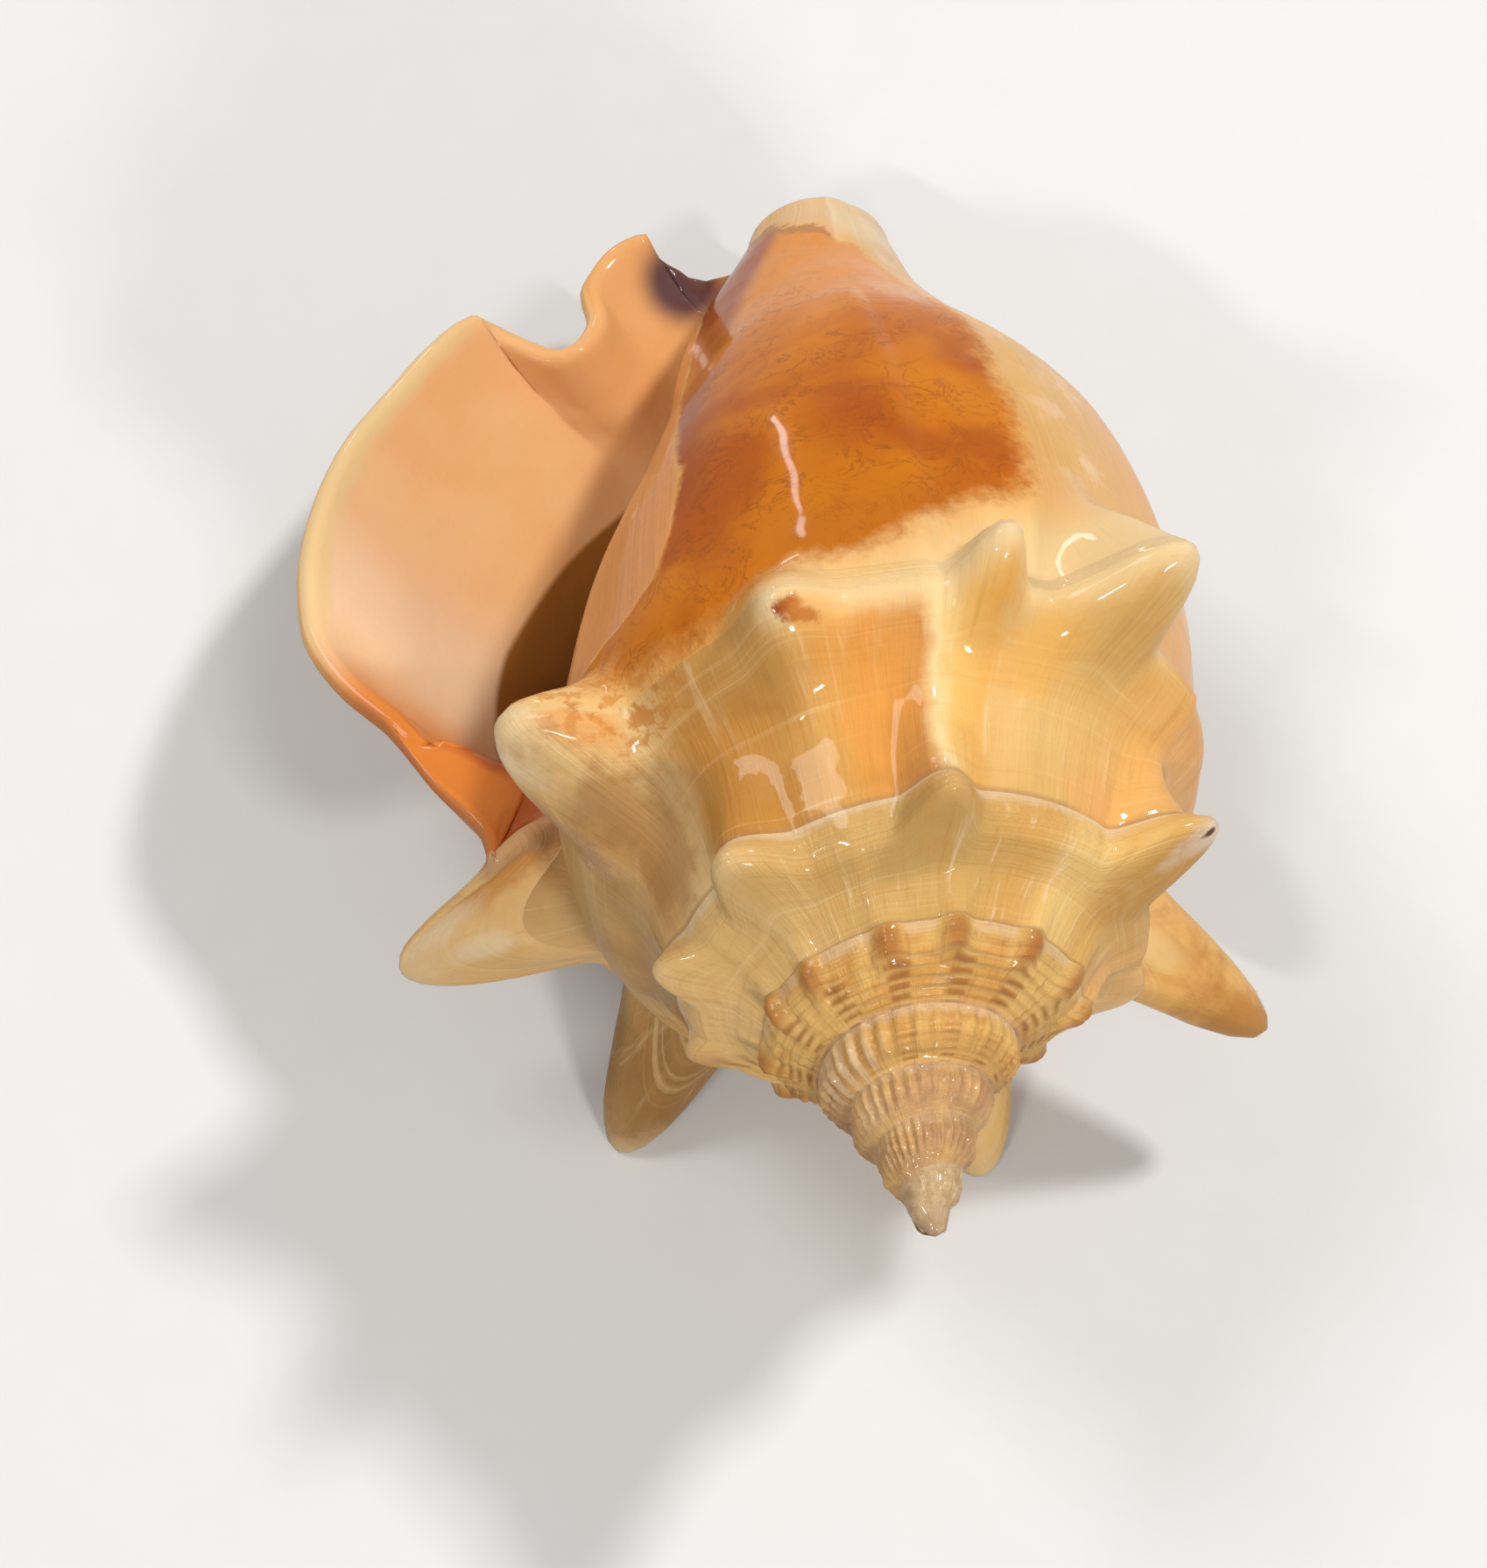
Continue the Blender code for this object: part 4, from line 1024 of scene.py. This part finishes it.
def shell_material():
    n = Material("shell_gloss")
    m = n.math
    n.place = n.new("ShaderNodeTexCoord").outputs["Object"]
    for name in ("turn", "row", "lip", "tips", "deep", "stain"):
        setattr(n, name, n.measure(name))
    for name, *look in NOISES:
        setattr(n, name, n.noise(n.place, *look))
    n.growth = n.noise(n.vector(n.times(n.turn, 110), n.times(n.row, 0.9), n.lip), 1.0, 4, 0.7)
    n.spiral = n.noise(n.vector(n.times(n.turn, 3.0), n.times(n.row, 16), n.lip), 1.0, 3, 0.6)
    n.cord = m("COSINE", n.times(n.row, ROUND * CORDS))
    base = Paint(n, small_marks(n, plain_outside(n)))
    base.lay(spire_colour(n), turn=(-2.02, -2.08))

    # The callus frays at its edge, over a fringe of orange tan, and is lined in brown at the front end
    frayed = m("ADD", n.measure("callus"), m("ADD", n.even(n.cloudy, 4.0), n.even(n.fine, 2.0)))
    on_callus = n.between(frayed, -1.0, 1.8)
    base.lay((0.82, 0.4, 0.09), 0.55, n.between(frayed, -4.5, 0.2))
    base.lay(callus_colour(n), on_callus)
    lined = n.between(m("ABSOLUTE", m("SUBTRACT", frayed, 0.6)), 0.9, 0.2)
    base.lay((0.42, 0.14, 0.01), 0.7, lined, row=(2.85, 2.9))

    # The band of salmon along the aperture side of the callus, which runs on inside, and the lip's
    # rim, which takes the orange of its face below the pale part
    salmon = m("ADD", n.measure("salmon"), n.even(n.cloudy, 1.6))
    base.lay((0.72, 0.29, 0.09), n.between(salmon, -0.15, 0.15))
    base.lay((0.46, 0.12, 0.02), 0.85, n.past(n.row, (1.25, 1.45), (2.24, 2.13)), turn=(-0.018, -0.009))

    base.lay(inside_colour(n), n.lip)
    base.lay((0.45, 0.19, 0.05), m("SUBTRACT", 1.0, n.lip), deep=(1.0, 9.0))
    base.lay((0.13, 0.06, 0.06), stain=(0.15, 0.75))

    # Smooth where glazed, a little duller on the spines and the old whorls. The gloss is the coat's.
    glazed = m("MAXIMUM", on_callus, n.lip)
    dull = n.plus(n.between(n.turn, -2.4, -1.9, 0.34, 0.22), n.cloudy, 0.2)
    n.fill(n.surface, {
        "Base Color": base.colour, "Roughness": n.between(glazed, 0.0, 1.0, dull, 0.16),
        "Specular IOR Level": 0.01, "Coat Weight": 0.28, "Coat Roughness": 0.05,
        "Subsurface Weight": 0.12, "Subsurface Radius": (1.0, 0.45, 0.2), "Subsurface Scale": 0.0015})

    # Fine striae and threads
    striae = n.times(n.growth, n.between(glazed, 0, 1, 1.0, 0.12))
    threads = n.times(n.spiral, n.between(glazed, 0, 1, 0.6, 0.12))
    height = m("ADD", striae, n.plus(threads, n.cloudy, 0.6))
    bump = n.new("ShaderNodeBump", {"Strength": 1.0, "Distance": 0.00017, "Height": height})
    n.fill(n.surface, {"Normal": bump.outputs["Normal"]})
    return n.made


def shows_background(n):
    """1 for rays to the camera, in gloss and through glass, which see the floor and the world pale."""
    camera, gloss, glass = (n.new("ShaderNodeLightPath").outputs[f"Is {kind} Ray"]
                            for kind in ("Camera", "Glossy", "Transmission"))
    return n.math("MAXIMUM", n.math("MAXIMUM", camera, gloss), glass)


def floor_material():
    n = Material("pale_floor")
    place = n.new("ShaderNodeTexCoord").outputs["Object"]
    seen = shows_background(n)
    away = n.new("ShaderNodeVectorMath", {0: place}, operation="LENGTH")
    far = n.times(n.between(away.outputs["Value"], *FAR_FLOOR), seen)
    near = n.mix(seen, FLOOR_BOUNCE, n.mix(n.noise(place, 220, 4), *FLOOR_SEEN))
    n.fill(n.surface, {"Base Color": n.mix(far, near, (0.0, 0.0, 0.0)), "Emission Color": BACKGROUND,
                       "Emission Strength": far, "Roughness": 0.85, "Specular IOR Level": 0.1})
    return n.made


# --- the scene

def add_floor():
    data = bpy.data.meshes.new("floor")
    corners = [(FLOOR_REACH * x, FLOOR_REACH * y, 0) for x, y in ((-1, -1), (1, -1), (1, 1), (-1, 1))]
    data.from_pydata(corners, [], [(0, 1, 2, 3)])
    data.materials.append(floor_material())
    floor = add_object("floor", data)


def add_lamp(name, at, size, watts):
    data = bpy.data.lights.new(name, "AREA")
    data.shape = "RECTANGLE"
    data.size, data.size_y = size
    data.energy = watts
    lamp = add_object(name, data)
    lamp.location = at
    lamp.rotation_euler = (Vector(LAMPS_AIM) - Vector(at)).to_track_quat("-Z", "Y").to_euler()


def add_world():
    """Dim light all round, with the pale background in view."""
    world = bpy.data.worlds.new("studio")
    bpy.context.scene.world = world
    world.use_nodes = True
    n = Nodes(world.node_tree)
    n.tree.nodes.clear()
    light, pale = (n.new("ShaderNodeBackground", {"Color": colour, "Strength": strength}).outputs[0]
                   for colour, strength in ((WORLD_LIGHT, WORLD_STRENGTH), (BACKGROUND, 1.0)))
    seen = n.new("ShaderNodeMixShader", {0: shows_background(n), 1: light, 2: pale})
    n.new("ShaderNodeOutputWorld", {"Surface": seen.outputs[0]})


def add_camera():
    back = np.array([0.0, math.sin(VIEW_TILT), -math.cos(VIEW_TILT)])  # (x, y, depth)
    ahead = np.array([0.0, 0.0, 1.0])
    up = ahead - back * (ahead @ back)
    up /= np.linalg.norm(up)
    right = np.array([1.0, 0.0, 0.0])
    right, up = (math.cos(VIEW_ROLL) * right - math.sin(VIEW_ROLL) * up,
                 math.sin(VIEW_ROLL) * right + math.cos(VIEW_ROLL) * up)
    turned = Matrix(at_rest(np.stack([right, up, back])).T.tolist()).to_4x4()
    data = bpy.data.cameras.new("camera")
    data.sensor_fit = "VERTICAL"
    data.sensor_width = data.sensor_height = 36
    data.lens = VIEW_LENS
    data.clip_start, data.clip_end = 0.01, 20
    camera = add_object("camera", data)
    camera.matrix_world = Matrix.Translation(placed(np.array([VIEW_FROM]))[0]) @ turned
    bpy.context.scene.camera = camera


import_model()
CAD_BOX = [np.array(corner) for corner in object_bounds()]
shell = shell_object(ShellMesh())
shell.data.materials.append(shell_material())
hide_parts("shell")
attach(shell, "root")

add_floor()
for lamp in LAMPS:
    add_lamp(*lamp)
add_world()
add_camera()
bpy.context.scene.view_settings.view_transform = "Standard"
